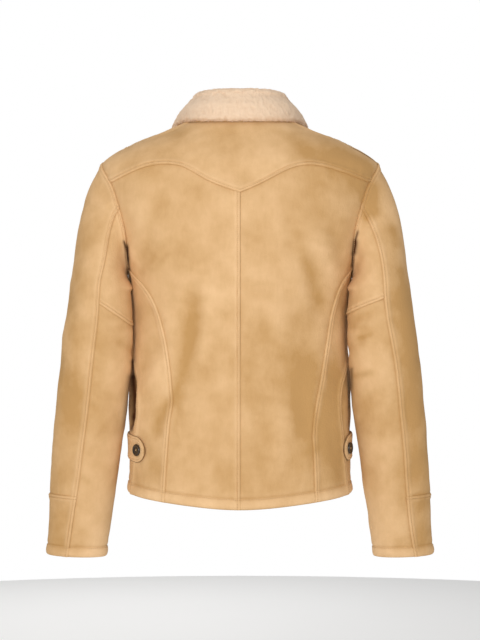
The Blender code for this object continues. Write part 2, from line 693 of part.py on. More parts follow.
def make_yoke():
    """The back yoke, in one piece across both shoulders."""
    halves = []
    for side, sign in (("left", 1), ("right", -1)):
        flip = np.array((sign, 1))
        bottom = yoke_seam(side, STEPS["shoulder"] + STEPS["neck_back"])
        shoulder = shoulder_seam(STEPS["shoulder"])
        neck = neckline(neck_angles()[0])
        top = join(neck, shoulder[::-1])
        halves.append((bottom * flip, top * flip))
    (bottom_left, top_left), (bottom_right, top_right) = halves
    turns = armhole_turns(YOKE_AT, STEPS["armhole_yoke"], SHOULDER_SEAM_AT)
    arm = armhole(np.degrees(turns))
    bottom = join(bottom_right[::-1], bottom_left)
    top = join(top_right[::-1], top_left)
    middle = len(bottom_left) - 1
    centre = between(bottom_left[0], top_left[0], STEPS["armhole_yoke"])
    right_half = patch(bottom[:middle + 1], top[:middle + 1], arm * np.array((-1, 1)), centre)
    left_half = patch(bottom[middle:], top[middle:], centre, arm)
    domain = np.concatenate((right_half, left_half[:, 1:]), axis=1)
    body_normals, _ = shared_armhole_normals(turns)
    flipped = body_normals * np.array((-1, 1, 1))
    borders = [((slice(None), -1), body_normals), ((slice(None), 0), flipped)]
    return make_panel("back_yoke", body_point, domain, "left", borders)


# ---------------------------------------------------------------- sleeve pieces
def elbow_line(side, steps):
    """The seam across the under sleeve: lower at the inside of the arm than at its two ends."""
    heights = ELBOW_HEIGHTS[side]
    start = sleeve_seam_turn(side + "_back", np.array(sleeve_station(heights[0])))
    end = sleeve_seam_turn("front", np.array(sleeve_station(heights[2]))) + 2 * math.pi
    turn = between(start, end, steps)
    marks = np.array((float(start), math.pi, float(end)))
    return np.stack((turn, sleeve_station(curve_through(marks, heights, turn))), axis=-1)


def level_line(side, station, steps, under=False):
    """A line round the top or the under sleeve at one station, from the front seam or the back seam."""
    front = sleeve_seam_turn("front", np.array(station))
    back = sleeve_seam_turn(side + "_back", np.array(station))
    turn = between(back, front + 2 * math.pi, steps) if under else between(front, back, steps)
    return np.stack((turn, np.full(steps + 1, station)), axis=-1)


def make_sleeve(side):
    """Four pieces: the top sleeve, cut across near the cuff, and the under sleeve, cut across at the elbow."""
    high, middle, low = STEPS["sleeve_high"], STEPS["sleeve_middle"], STEPS["sleeve_low"]
    elbow_back, _, elbow_front = (sleeve_station(height) for height in ELBOW_HEIGHTS[side])
    low_seam, cuff = sleeve_station(LOW_SEAM_HEIGHT), 2.0
    back = side + "_back"
    back_high = sleeve_seam(back, 0.0, elbow_back, high)
    back_middle = sleeve_seam(back, elbow_back, low_seam, middle)
    back_low = sleeve_seam(back, low_seam, cuff, low)
    front_high = sleeve_seam("front", 0.0, elbow_front, high)
    front_middle = sleeve_seam("front", elbow_front, low_seam, middle)
    front_low = sleeve_seam("front", low_seam, cuff, low)
    full_turn = np.array((2 * math.pi, 0))

    top_turns = armhole_turns(SLEEVE_FRONT_SEAM_AT, STEPS["armhole_front_high"], SHOULDER_SEAM_AT,
                              STEPS["armhole_yoke"], YOKE_AT, STEPS["armhole_back_high"], SLEEVE_BACK_SEAM_AT)
    under_turns = armhole_turns(SLEEVE_BACK_SEAM_AT, STEPS["armhole_back_low"], PRINCESS_AT, STEPS["armhole_side"],
                                UNDERARM_AT, STEPS["armhole_front_low"], SLEEVE_FRONT_SEAM_AT + 360)
    top_count, under_count = len(top_turns) - 1, len(under_turns) - 1
    top_edge = np.stack((top_turns, np.zeros(top_count + 1)), axis=-1)
    under_edge = np.stack((under_turns, np.zeros(under_count + 1)), axis=-1)
    _, top_normals = shared_armhole_normals(top_turns)
    _, under_normals = shared_armhole_normals(under_turns)
    elbow = elbow_line(side, under_count)
    low_line = level_line(side, low_seam, top_count)
    top_cuff = level_line(side, cuff, top_count)
    under_cuff = level_line(side, cuff, under_count, under=True)

    first_row = (0, slice(None))
    pieces = (
        ("top_upper", patch(top_edge, low_line, join(front_high, front_middle), join(back_high, back_middle)),
         [(first_row, top_normals)]),
        ("top_lower", patch(low_line, top_cuff, front_low, back_low), None),
        ("under_upper", patch(under_edge, elbow, back_high, front_high + full_turn), [(first_row, under_normals)]),
        ("under_lower", patch(elbow, under_cuff, join(back_middle, back_low),
                              join(front_middle, front_low) + full_turn), None),
    )
    for name, domain, borders in pieces:
        make_panel("sleeve_" + side + "_" + name, sleeve_point, domain, side, borders)


# ---------------------------------------------------------------- collar
def collar_section(angle):
    """The collar cut through at an angle: a stand, a rolled fold and a fall that lies on the body."""
    inward, up, edge_height, edge_lift = (
        float(read(COLLAR_SECTIONS, COLLAR_COLUMNS, name, abs(math.degrees(angle)), along="angle"))
        for name in COLLAR_COLUMNS[1:])
    radial = np.array((math.sin(angle), math.cos(angle), 0.0))
    rise = np.array((0.0, 0.0, 1.0))
    seam_angle, seam_height = neckline(np.array(angle))
    seam = body_point(seam_angle, seam_height) + rise * SEAM_GAP
    fold = seam - radial * inward + rise * up
    edge = body_point(angle, edge_height)
    edge_normal = outward(body_point, np.array(angle), np.array(edge_height))
    edge_inner = edge + edge_normal * edge_lift
    edge_outer = edge_inner + edge_normal * COLLAR_EDGE_THICKNESS
    shoulder_of_fall = fold + radial * COLLAR_ROLL
    middle_of_fall = (shoulder_of_fall + edge_outer) / 2 + (radial + rise) * COLLAR_FALL_BULGE
    roll = [fold + COLLAR_ROLL * (math.cos(a) * radial + math.sin(a) * rise)
            for a in np.linspace(math.pi, 0, COLLAR_ROLL_STEPS)]
    middle_of_stand = (fold + seam) / 2
    return np.array([seam, middle_of_stand - radial * COLLAR_SLIT, fold - radial * COLLAR_SLIT,
                     fold + radial * COLLAR_SLIT, edge_inner, edge_outer, middle_of_fall, *roll[::-1],
                     middle_of_stand - radial * COLLAR_ROLL, seam - radial * HIDE])


def make_collar():
    """The one-piece turned-down collar, wool side out, from one front end round the neck to the other."""
    angles = join(*neck_angles())
    sections = np.array([collar_section(a) for a in join(-angles[::-1], angles)])
    return make_object("collar", sections.reshape(-1, 3), tube_faces(*sections.shape[:2]), WOOL)


# ---------------------------------------------------------------- tabs and buttons
def tab_height(angle):
    """The middle of the tab at an angle round the body."""
    return hem(angle)[..., 1] + TAB_ABOVE_HEM


def make_tab(side):
    """A tab that lies on the body, parallel to the hem: a round end at the back, sewn down in front."""
    surface = mirrored_body(side)
    part = between(0.0, 1.0, TAB_STEPS) ** TAB_STEP_POWER
    angle = np.radians(TAB_BACK_ANGLE[side] + TAB_LENGTH_ANGLE * part)
    run = (angle - angle[0]) * BODY_GIRTH_RADIUS
    round_part = np.clip(1 - run / TAB_HALF_WIDTH, 0, 1)
    half = TAB_HALF_WIDTH * np.sqrt(np.clip(1 - round_part ** 2, TAB_TIP_SHARE, 1))
    across = np.linspace(-1, 1, TAB_END_STEPS + 1)
    heights = tab_height(angle) + across[:, None] * half[None, :]
    angles = np.broadcast_to(angle[None, :], heights.shape)
    base = surface(angles, heights)
    normals = outward(surface, angles, heights)
    points, faces = wall_between(base + normals * (TAB_LIFT + TAB_THICKNESS), base + normals * TAB_LIFT)
    return make_object("tab_" + side, mirrored(points, side), faces, SUEDE)


def seat_on_body(side, angle, height):
    """A point of the body with its normal and two directions along the cloth, on the wearer's left or mirrored."""
    surface = mirrored_body(side)
    seat = surface(np.array(angle), np.array(height))
    normal = outward(surface, np.array(angle), np.array(height))
    first = np.cross((0.0, 0.0, 1.0), normal)
    first = first / np.linalg.norm(first)
    return seat, normal, first, np.cross(normal, first)


def circle_on(place, radius, rise, sides, centre=(0.0, 0.0)):
    """Points of a circle about a seat's normal, at a rise above the seat."""
    seat, normal, first, second = place
    spin = np.linspace(0, 2 * math.pi, sides, endpoint=False)[:, None]
    across = centre[0] + radius * np.cos(spin)
    along = centre[1] + radius * np.sin(spin)
    return seat + normal * rise + across * first + along * second


def make_button(name, side, angle, height, lift):
    """A turned button with a raised rim and four holes, its axis on the cloth's normal."""
    place = seat_on_body(side, angle, height)
    rings = [circle_on(place, radius * BUTTON_RADIUS, lift + rise * BUTTON_THICKNESS, BUTTON_SIDES)
             for radius, rise in BUTTON_PROFILE]
    faces = tube_faces(len(rings), BUTTON_SIDES)
    button = make_object(name, mirrored(np.concatenate(rings), side), faces, HORN, sharp=40)
    for corner in range(4):
        spin = math.radians(45 + 90 * corner)
        centre = (BUTTON_HOLE_REACH * math.cos(spin), BUTTON_HOLE_REACH * math.sin(spin))
        ends = [circle_on(place, BUTTON_HOLE_RADIUS, rise, BUTTON_HOLE_SIDES, centre)
                for rise in (lift - BUTTON_HOLE_MARGIN, lift + BUTTON_THICKNESS + BUTTON_HOLE_MARGIN)]
        cutter = make_object(f"{name}_hole_{corner}", mirrored(np.concatenate(ends), side),
                             tube_faces(2, BUTTON_HOLE_SIDES), HORN)
        cutter.hide_render = True
        cutter.display_type = "WIRE"
        cut = button.modifiers.new("hole", "BOOLEAN")
        cut.operation = "DIFFERENCE"
        cut.object = cutter
    return button


def make_buttons():
    """One button on each tab, and a row of the same buttons down the lapped front."""
    for side in ("left", "right"):
        angle = math.radians(TAB_BACK_ANGLE[side] + BUTTON_FROM_TAB_END)
        make_button("tab_button_" + side, side, angle, float(tab_height(np.array(angle))),
                    TAB_LIFT + TAB_THICKNESS + BUTTON_LIFT)
    for number, height in enumerate(FRONT_BUTTON_HEIGHTS, start=1):
        make_button(f"front_button_{number}", "left", math.pi, height, HIDE + LAP_CLEARANCE + BUTTON_LIFT)


def main():
    for old in list(bpy.data.objects):
        bpy.data.objects.remove(old)
    make_yoke()
    for side in ("left", "right"):
        make_back(side)
        make_side(side)
        make_front(side)
        make_sleeve(side)
        make_tab(side)
    make_collar()
    make_buttons()


main()
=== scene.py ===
"""Looks of a suede shearling jacket: its cut pieces with lapped seams and turned-in edges, the wool collar, the
side tabs, the buttons, all the stitching, and a plain studio round it.

Metres, +Z up, +X to the wearer's left, +Y to the back. Every cut piece is a grid on one of two surfaces, the body
and the sleeve, which have the same sections as the solid model, so a piece needs no fitting.
"""

import math

import bpy
import numpy as np
from bpy.props import FloatProperty, FloatVectorProperty, IntProperty, PointerProperty
from bpy.types import Operator, Panel, PropertyGroup
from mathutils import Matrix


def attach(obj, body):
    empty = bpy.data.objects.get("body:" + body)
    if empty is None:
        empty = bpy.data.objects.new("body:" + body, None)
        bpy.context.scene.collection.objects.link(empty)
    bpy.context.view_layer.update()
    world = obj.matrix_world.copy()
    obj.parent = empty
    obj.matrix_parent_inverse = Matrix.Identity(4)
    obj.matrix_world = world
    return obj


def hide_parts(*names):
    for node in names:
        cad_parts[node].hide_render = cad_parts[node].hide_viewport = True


bl_info = {
    "name": "Suede shearling jacket",
    "version": (1, 0, 0),
    "blender": (4, 5, 0),
    "location": "3D View > Sidebar > Jacket",
    "description": "Builds the visible pieces of a suede shearling jacket on its solid model",
    "category": "Add Mesh",
}

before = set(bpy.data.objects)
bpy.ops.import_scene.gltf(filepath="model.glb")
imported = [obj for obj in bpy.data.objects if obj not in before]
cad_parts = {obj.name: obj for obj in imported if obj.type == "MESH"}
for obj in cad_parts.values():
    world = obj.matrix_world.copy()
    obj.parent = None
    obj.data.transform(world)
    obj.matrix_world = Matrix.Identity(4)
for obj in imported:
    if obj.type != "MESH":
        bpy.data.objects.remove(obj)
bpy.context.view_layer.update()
SIDES = {"left": 1, "right": -1}  # with the sign of +X on that side

# ---------------------------------------------------------------- the pattern's sizes, as in the solid model
HIDE = 0.005
SEAM_GAP = 0.0003
LAP = 0.020
LAP_CLEARANCE = 0.0012
LAP_RISE_ANGLE = 8.0
LAP_MARGIN_ANGLE = 2.5
BODY_GIRTH_RADIUS = 0.165
SLEEVE_GIRTH_RADIUS = 0.055

# A row for each horizontal section of the body, from neck to hem.
BODY_COLUMNS = ("height", "half_width", "back_depth", "front_depth", "squareness")
BODY_SECTIONS = (
    (0.012, 0.0710, 0.066, 0.056, 2.00),
    (-0.005, 0.0845, 0.074, 0.066, 2.00),
    (-0.017, 0.1115, 0.083, 0.078, 2.05),
    (-0.031, 0.1435, 0.090, 0.087, 2.10),
    (-0.051, 0.1915, 0.100, 0.097, 2.15),
    (-0.065, 0.2175, 0.106, 0.103, 2.15),
    (-0.078, 0.2335, 0.111, 0.107, 2.20),
    (-0.105, 0.2370, 0.117, 0.113, 2.25),
    (-0.150, 0.2275, 0.123, 0.121, 2.35),
    (-0.192, 0.2110, 0.125, 0.126, 2.45),
    (-0.235, 0.1965, 0.125, 0.129, 2.45),
    (-0.262, 0.1890, 0.124, 0.130, 2.40),
    (-0.300, 0.1852, 0.122, 0.130, 2.26),
    (-0.350, 0.1835, 0.119, 0.129, 2.20),
    (-0.430, 0.1875, 0.118, 0.127, 2.26),
    (-0.500, 0.1890, 0.120, 0.126, 2.40),
    (-0.570, 0.1865, 0.122, 0.126, 2.50),
    (-0.660, 0.1915, 0.123, 0.126, 2.50),
)

# The armhole: an oval seen from the side, laid on the body. Its angle is 0 on top, 90 at the back, 180 below.
ARMHOLE_TOP = -0.076
ARMHOLE_BOTTOM = -0.262
ARMHOLE_BACK_REACH = 0.068
ARMHOLE_FRONT_REACH = 0.066
SHOULDER_SEAM_AT = -18.0
YOKE_AT = 53.0
SLEEVE_BACK_SEAM_AT = 83.0
PRINCESS_AT = 152.0
UNDERARM_AT = 180.0
SLEEVE_FRONT_SEAM_AT = -125.0

NECK_BACK_HEIGHT = -0.005
NECK_FRONT_DROP = 0.080
HEM_SIDE_HEIGHT = -0.6328
HEM_BACK_DIP = 0.0213
HEM_FRONT_DIP = 0.012
HEM_DIP_POWER = 1.5

YOKE_COLUMNS = ("reach", "left_height", "right_height")
YOKE_SEAM = (
    (0.000, -0.1346, -0.1346),
    (0.033, -0.1230, -0.1200),
    (0.054, -0.1138, -0.1090),
    (0.077, -0.1002, -0.0970),
    (0.095, -0.0910, -0.0905),
    (0.115, -0.0870, -0.0880),
    (0.147, -0.0890, -0.0925),
    (0.177, -0.0990, -0.1012),
    (0.212, -0.1150, -0.1125),
)
SHOULDER_BEND_FROM = 0.19
SHOULDER_LOWEST = -0.120
SHOULDER_HIGHEST = 0.010
SHOULDER_COLUMNS = ("reach", "toward_back")
SHOULDER_SEAM = (
    (0.086, 0.032),
    (0.120, 0.038),
    (0.148, 0.027),
    (0.172, 0.006),
    (0.200, -0.011),
    (0.232, -0.020),
)
SEAM_EASE = 0.04
SEAM_COLUMNS = ("height", "left_angle", "right_angle")
PRINCESS_SEAM = (
    (-0.255, 78.5, 78.0),
    (-0.275, 69.5, 71.5),
    (-0.301, 61.8, 67.0),
    (-0.335, 56.7, 63.8),
    (-0.414, 50.2, 58.2),
    (-0.452, 48.5, 55.0),
    (-0.511, 48.2, 50.6),
    (-0.600, 49.7, 49.8),
    (-0.660, 50.0, 49.6),
)
SIDE_SEAM = (
    (-0.262, 90.0, 90.0),
    (-0.320, 89.0, 89.0),
    (-0.370, 86.0, 86.5),
    (-0.413, 80.0, 80.0),
    (-0.450, 73.0, 72.0),
    (-0.480, 70.5, 69.0),
    (-0.527, 72.2, 70.0),
    (-0.585, 74.7, 73.0),
    (-0.660, 77.0, 76.0),
)

# A row for each oval section of the sleeve below the cap. The tilt lifts its outer end.
CUFF_HEIGHT = -0.744
SLEEVE_COLUMNS = ("height", "centre_x", "centre_y", "half_width", "half_depth", "tilt")
SLEEVE_SECTIONS = (
    (-0.300, 0.2340, 0.043, 0.0515, 0.0560, 2.0),
    (-0.350, 0.2352, 0.049, 0.0567, 0.0530, 3.0),
    (-0.390, 0.2392, 0.047, 0.0587, 0.0510, 3.5),
    (-0.430, 0.2433, 0.042, 0.0597, 0.0495, 4.0),
    (-0.500, 0.2508, 0.031, 0.0598, 0.0475, 4.0),
    (-0.553, 0.2579, 0.021, 0.0584, 0.0455, 4.0),
    (-0.608, 0.2639, 0.010, 0.0567, 0.0430, 3.5),
    (-0.663, 0.2702, 0.001, 0.0542, 0.0405, 3.0),
    (-0.718, 0.2761, -0.006, 0.0511, 0.0380, 2.5),
    (-0.760, 0.2804, -0.011, 0.0496, 0.0365, 2.0),
)
SLEEVE_SEAM_COLUMNS = ("height", "left_back", "right_back", "front")
SLEEVE_SEAMS = (
    (-0.300, 93.2, 87.0, -125.0),
    (-0.350, 91.0, 82.5, -125.0),
    (-0.430, 89.2, 76.5, -125.0),
    (-0.500, 88.2, 76.0, -124.0),
    (-0.600, 85.8, 77.0, -122.0),
    (-0.700, 79.5, 76.5, -120.0),
    (-0.760, 76.0, 69.0, -119.0),
)
SLEEVE_SEAM_BOW = {"left_back": 8.0, "right_back": 0.0, "front": 0.0}  # how far a seam swings round the arm in the cap
# Heights of the elbow seam at the sleeve's back seam, at the inside of the arm and at the front seam.
ELBOW_HEIGHTS = {"left": (-0.316, -0.350, -0.335), "right": (-0.3075, -0.332, -0.335)}
LOW_SEAM_HEIGHT = -0.640
# The way the cloth leaves the armhole, outwards, back and up: each with what is added to it under the arm.
CAP_OUT = (0.56, 0.32)
CAP_BACK = (0.20, 0.18)
CAP_UP = (-0.85, 0.25)
CAP_PROBE = 0.002
# Under the arm body and sleeve meet in a crease, where each keeps its own normals at the seam. They share one as the
# cosine between the two rises by the range from the value below. The sleeve's is taken at the station of the probe.
CREASE_PROBE = 0.004
CREASE_FROM = -0.2
CREASE_RANGE = 0.7

# The largest folds, as in the solid model. Each row: angle and height of one end, then of the other, half width,
# and depth of the trough.
BODY_FOLDS = (
    (35.0, -0.315, 44.0, -0.480, 0.020, 0.004),
    (51.5, -0.475, 57.0, -0.527, 0.014, 0.003),
    (-47.5, -0.250, -56.0, -0.325, 0.018, 0.003),
    (-47.0, -0.410, -45.0, -0.530, 0.024, 0.004),
    (83.0, -0.385, 78.0, -0.450, 0.014, 0.005),
    (77.5, -0.455, 78.5, -0.500, 0.014, 0.005),
    (-84.0, -0.390, -82.0, -0.520, 0.016, 0.004),
    (150.0, -0.360, 112.0, -0.400, 0.022, 0.004),
    (-148.0, -0.340, -114.0, -0.392, 0.022, 0.004),
)
FOLD_RUN_IN = 0.02
SLEEVE_FOLDS = (
    (200.0, -0.350, 262.0, -0.372, 0.016, 0.005),
    (204.0, -0.402, 258.0, -0.392, 0.014, 0.004),
)

COLLAR_COLUMNS = ("angle", "fold_inward", "fold_up", "edge_height", "edge_lift")
COLLAR_SECTIONS = (
    (0.0, 0.0100, 0.0355, -0.0150, 0.0016),
    (45.0, 0.0125, 0.0360, -0.0138, 0.0016),
    (90.0, 0.0150, 0.0350, -0.0128, 0.0018),
    (115.0, 0.0115, 0.0340, -0.0300, 0.0048),
    (140.0, 0.006, 0.027, -0.0800, 0.0040),
    (161.0, 0.000, 0.021, -0.1320, 0.0025),
)
COLLAR_ROLL = 0.011
COLLAR_SLIT = 0.0012
COLLAR_EDGE_THICKNESS = 0.0085
COLLAR_FALL_BULGE = 0.003
COLLAR_EDGE_ROUNDING = 0.0022

TAB_ABOVE_HEM = 0.0785
TAB_HALF_WIDTH = 0.022
TAB_LENGTH_ANGLE = 38.0
TAB_BACK_ANGLE = {"left": 62.3, "right": 69.3}
TAB_THICKNESS = 0.003
TAB_LIFT = 0.0005
BUTTON_FROM_TAB_END = 5.3
BUTTON_RADIUS = 0.010
BUTTON_THICKNESS = 0.0042
BUTTON_HOLE_REACH = 0.0023
BUTTON_HOLE_RADIUS = 0.0009
BUTTON_LIFT = 0.0006
FRONT_BUTTON_HEIGHTS = (-0.150, -0.260, -0.370, -0.480, -0.590)

# ---------------------------------------------------------------- the cloth's finer shape
# Smaller folds and swells on top of the large ones, rows as for BODY_FOLDS. A negative depth is a ridge.
BODY_CREASES = (
    (77.0, -0.455, 77.5, -0.515, 0.009, 0.0045),
    (90.0, -0.271, 90.0, -0.290, 0.012, -0.0013),
    (-90.0, -0.271, -90.0, -0.290, 0.012, -0.0013),
    (22.0, -0.300, 27.0, -0.400, 0.020, -0.0014),
    (49.0, -0.330, 52.0, -0.460, 0.017, -0.0016),
    (28.0, -0.470, 22.0, -0.560, 0.030, 0.0012),
    (10.0, -0.230, 14.0, -0.330, 0.024, 0.0010),
    (56.0, -0.205, 66.0, -0.262, 0.012, 0.0018),
    (62.0, -0.180, 70.0, -0.235, 0.009, -0.0010),
    (36.0, -0.160, 44.0, -0.230, 0.016, 0.0010),
    (60.0, -0.385, 72.0, -0.440, 0.016, 0.0018),
    (58.0, -0.430, 69.0, -0.478, 0.013, -0.0012),
    (66.0, -0.505, 58.0, -0.590, 0.014, 0.0012),
    (-22.0, -0.270, -30.0, -0.372, 0.022, -0.0013),
    (-58.0, -0.370, -52.0, -0.480, 0.015, -0.0014),
    (-12.0, -0.420, -17.0, -0.560, 0.026, 0.0012),
    (-34.0, -0.180, -40.0, -0.255, 0.018, 0.0012),
    (-58.0, -0.195, -66.0, -0.250, 0.012, 0.0018),
    (-30.0, -0.510, -26.0, -0.600, 0.020, -0.0010),
    (-64.0, -0.420, -72.0, -0.470, 0.015, 0.0016),
    (-60.0, -0.520, -66.0, -0.590, 0.013, 0.0010),
    (120.0, -0.200, 134.0, -0.300, 0.020, 0.0022),
    (-118.0, -0.210, -130.0, -0.290, 0.018, 0.0020),
    (132.0, -0.430, 108.0, -0.462, 0.018, 0.0020),
    (-126.0, -0.430, -106.0, -0.452, 0.016, 0.0022),
    (146.0, -0.500, 128.0, -0.560, 0.020, 0.0014),
    (-140.0, -0.490, -124.0, -0.545, 0.022, 0.0014),
)
SLEEVE_CREASES = (
    (180.0, 0.100, 180.0, -0.215, 0.030, -0.0058),
    (118.0, -0.335, 170.0, -0.345, 0.009, 0.0022),
    (112.0, -0.357, 160.0, -0.352, 0.006, 0.0020),
    (128.0, -0.376, 178.0, -0.392, 0.008, 0.0018),
    (70.0, -0.300, 105.0, -0.322, 0.013, 0.0012),
    (30.0, -0.318, 62.0, -0.345, 0.018, 0.0014),
    (10.0, -0.372, 44.0, -0.405, 0.020, -0.0012),
    (20.0, -0.420, 50.0, -0.470, 0.018, 0.0012),
    (120.0, -0.470, 150.0, -0.520, 0.016, 0.0014),
    (58.0, -0.520, 66.0, -0.610, 0.016, 0.0010),
    (100.0, -0.560, 140.0, -0.590, 0.014, 0.0012),
    (20.0, -0.640, 60.0, -0.668, 0.015, 0.0010),
    (250.0, -0.360, 300.0, -0.380, 0.010, 0.0024),
    (246.0, -0.392, 296.0, -0.404, 0.009, 0.0020),
    (230.0, -0.440, 300.0, -0.470, 0.014, 0.0016),
    (300.0, -0.560, 350.0, -0.600, 0.016, 0.0012),
    (230.0, -0.620, 290.0, -0.650, 0.014, 0.0010),
)
SWELL = 0.0009  # slow unevenness of a filled-out hide
SWELL_LENGTH = 0.085
SMALL_SWELL_LENGTH = 0.33  # of the slow one's
SMALL_SWELL_SHARE = 0.35
# The depths and heights that count as 1 in the relief value, which paints highlight on the raised places and shade
# in the folds into the suede's colour, on the seam ridges partly wear as well. The large folds count by a share.
RELIEF_FOLD = 0.004
RELIEF_SWELL = 0.0022
RELIEF_EDGE = 0.0016 / 0.60
RELIEF_LARGE_FOLDS = 0.6
RELIEF_LIMIT = 1.5

# Profiles across an edge, from the edge inwards: distance, then how far the cloth stands off the pattern's surface.
LAP_PROFILE = (
    (0.0000, 0.0003), (0.0005, 0.0011), (0.0012, 0.0016), (0.0026, 0.0018), (0.0040, 0.0014), (0.0047, 0.0006),
    (0.0054, 0.0013), (0.0066, 0.0016), (0.0082, 0.0011), (0.0105, 0.0003), (0.0135, 0.0000))
UNDER_PROFILE = ((0.0000, -0.0004), (0.0016, -0.0004), (0.0034, -0.0001), (0.0060, 0.0000))
HEM_PROFILE = (
    (0.0000, -0.0024), (0.0008, -0.0006), (0.0018, 0.0008), (0.0036, 0.0018), (0.0075, 0.0023), (0.0110, 0.0022),
    (0.0150, 0.0016), (0.0180, 0.0005), (0.0192, -0.0003), (0.0204, -0.0002), (0.0225, 0.0004), (0.0260, 0.0004),
    (0.0320, 0.0000))
EDGE_PROFILE = (
    (0.0000, -0.0020), (0.0008, -0.0006), (0.0020, 0.0003), (0.0042, 0.0004), (0.0054, -0.0003), (0.0066, 0.0004),
    (0.0100, 0.0000))
PLAIN_PROFILE = ((0.0, 0.0), (0.001, 0.0))
PROFILES = {"lap": LAP_PROFILE, "under": UNDER_PROFILE, "hem": HEM_PROFILE, "edge": EDGE_PROFILE,
            "plain": PLAIN_PROFILE}
LAP_LIP = 0.0008  # how far a lapped edge passes the seam line
STITCH_FROM_EDGE = {"lap": 0.0047, "hem": 0.0195, "edge": 0.0054}
# Painted shade beside an edge, in the seam's hollow and in the stitching's groove, each row: how much, distance
# from the edge, half width. It fades from distance 0, or is a bell about another distance.
CREVICE_SHADES = {
    "under": ((0.50, 0.0, 0.0020),),
    "lap": ((0.30, 0.0, 0.0006), (0.13, 0.0047, 0.0009)),
    "hem": ((0.30, 0.0, 0.0015), (0.20, 0.0195, 0.0011)),
}
EDGE_REACH = HEM_PROFILE[-1][0] + 0.004
SECOND_EDGE_SHARE = 0.35  # where two edges meet, the share of the lower profile that is added to the higher one
TURNING = (0.0150, 0.0065)  # the turned-in cloth of a hem ends from the first distance on, over the second
TURNING_LIFT = 0.0022
EDGE_THINNING = 0.55  # where an edge is rounded down, the share of it by which the inside comes up
FINE_BAND = (0.0, 0.0004, 0.0009, 0.0015, 0.0024, 0.0034, 0.0042, 0.0048, 0.0056, 0.0068, 0.0085, 0.0108, 0.0135)
HEM_BAND = (
    0.0, 0.0008, 0.0018, 0.0032, 0.0050, 0.0075, 0.0105, 0.0135, 0.0162, 0.0180, 0.0190, 0.0200, 0.0212, 0.0235,
    0.0265, 0.0300)
MITRE_REACH = 0.014
PUCKER_REACH = 0.013
PUCKER_FROM = 0.004
PUCKER_LENGTH = {"hem": 0.024}
SEAM_PUCKER_LENGTH = 0.017
QUIET_REACH = 0.012  # near a seam the hide's unevenness dies out
QUIET_CREASES = 0.3
SLEEVE_CREASES_FROM = 0.16  # station by which the sleeve's creases are in full
LINE_SAMPLES = 240
BAND_ROOM = 0.45  # most of a piece's size that the close grid lines of one edge take

# Strokes of painted shade laid on the jacket as seen from behind, each a soft line from one place to another: reach
# (+X) and height of both ends, half width, and how much. They darken whatever faces the back there, body or sleeve,
# and fade in from one depth (+Y) to another. The dark patches begin at a depth of their own.
STROKES_FROM = -0.035
STROKES_TO = -0.005
SECOND_STROKE_SHARE = 0.25
DARK_PATCHES_FROM = -0.02
PAINTED_SHADE_STROKES = (
    (0.070, -0.311, 0.082, -0.382, 0.014, 0.30),
    (0.085, -0.392, 0.110, -0.476, 0.011, 0.34),
    (0.120, -0.484, 0.134, -0.522, 0.010, 0.38),
    (0.126, -0.222, 0.146, -0.246, 0.008, 0.22),
    (0.118, -0.236, 0.142, -0.262, 0.007, 0.20),
    (0.160, -0.420, 0.150, -0.470, 0.012, 0.12),
    (0.272, -0.380, 0.275, -0.480, 0.011, 0.40),
    (0.262, -0.608, 0.254, -0.614, 0.006, 0.30),
    (0.244, -0.130, 0.278, -0.320, 0.030, 0.22),
    (0.278, -0.320, 0.312, -0.720, 0.032, 0.40),
    (0.268, -0.700, 0.322, -0.735, 0.014, 0.20),
    (-0.250, -0.150, -0.276, -0.300, 0.028, 0.16),
    (-0.276, -0.300, -0.300, -0.640, 0.034, 0.58),
    (0.232, -0.340, 0.242, -0.520, 0.022, 0.34),
    (-0.270, -0.720, -0.325, -0.725, 0.016, 0.34),
    (-0.096, -0.204, -0.108, -0.248, 0.010, 0.40),
    (-0.108, -0.248, -0.132, -0.312, 0.013, 0.36),
    (-0.108, -0.422, -0.107, -0.520, 0.015, 0.50),
    (-0.086, -0.045, -0.104, -0.060, 0.015, 0.34),
    (-0.168, -0.078, -0.204, -0.092, 0.018, 0.85),
    (-0.207, -0.142, -0.210, -0.170, 0.009, 0.75),
    (-0.216, -0.128, -0.222, -0.160, 0.014, 0.90),
    (-0.156, -0.440, -0.158, -0.600, 0.024, 0.50),
    (-0.120, -0.560, -0.124, -0.620, 0.016, 0.30),
    (-0.254, -0.192, -0.260, -0.216, 0.011, 0.55),
    (-0.268, -0.262, -0.272, -0.310, 0.010, 0.55),
    (-0.280, -0.345, -0.288, -0.412, 0.016, 0.70),
    (-0.286, -0.330, -0.306, -0.520, 0.020, 0.42),
    (-0.306, -0.540, -0.314, -0.700, 0.014, 0.34),
    (-0.302, -0.655, -0.310, -0.730, 0.016, 0.36),
    (-0.196, -0.373, -0.214, -0.368, 0.005, 0.45),
    (-0.190, -0.436, -0.216, -0.430, 0.006, 0.40),
)
# The same for the almost black folds under the arms, where no light comes in: painted shadow, near black.
PAINTED_SHADOW_STROKES = (
    (0.194, -0.213, 0.188, -0.231, 0.0022, 0.9),
    (0.189, -0.222, 0.187, -0.240, 0.0042, 1.0),
    (0.187, -0.240, 0.184, -0.280, 0.0022, 0.9),
    (0.184, -0.280, 0.178, -0.318, 0.0016, 0.4),
    (0.178, -0.318, 0.178, -0.398, 0.0016, 0.3),
    (0.181, -0.412, 0.180, -0.440, 0.0024, 0.9),
    (0.180, -0.440, 0.179, -0.505, 0.0060, 1.0),
    (0.181, -0.505, 0.183, -0.527, 0.0034, 0.9),
    (-0.196, -0.197, -0.192, -0.212, 0.0024, 0.8),
    (-0.193, -0.213, -0.191, -0.230, 0.0042, 1.0),
    (-0.190, -0.232, -0.190, -0.262, 0.0026, 0.9),
    (-0.186, -0.425, -0.185, -0.490, 0.0026, 0.6),
)
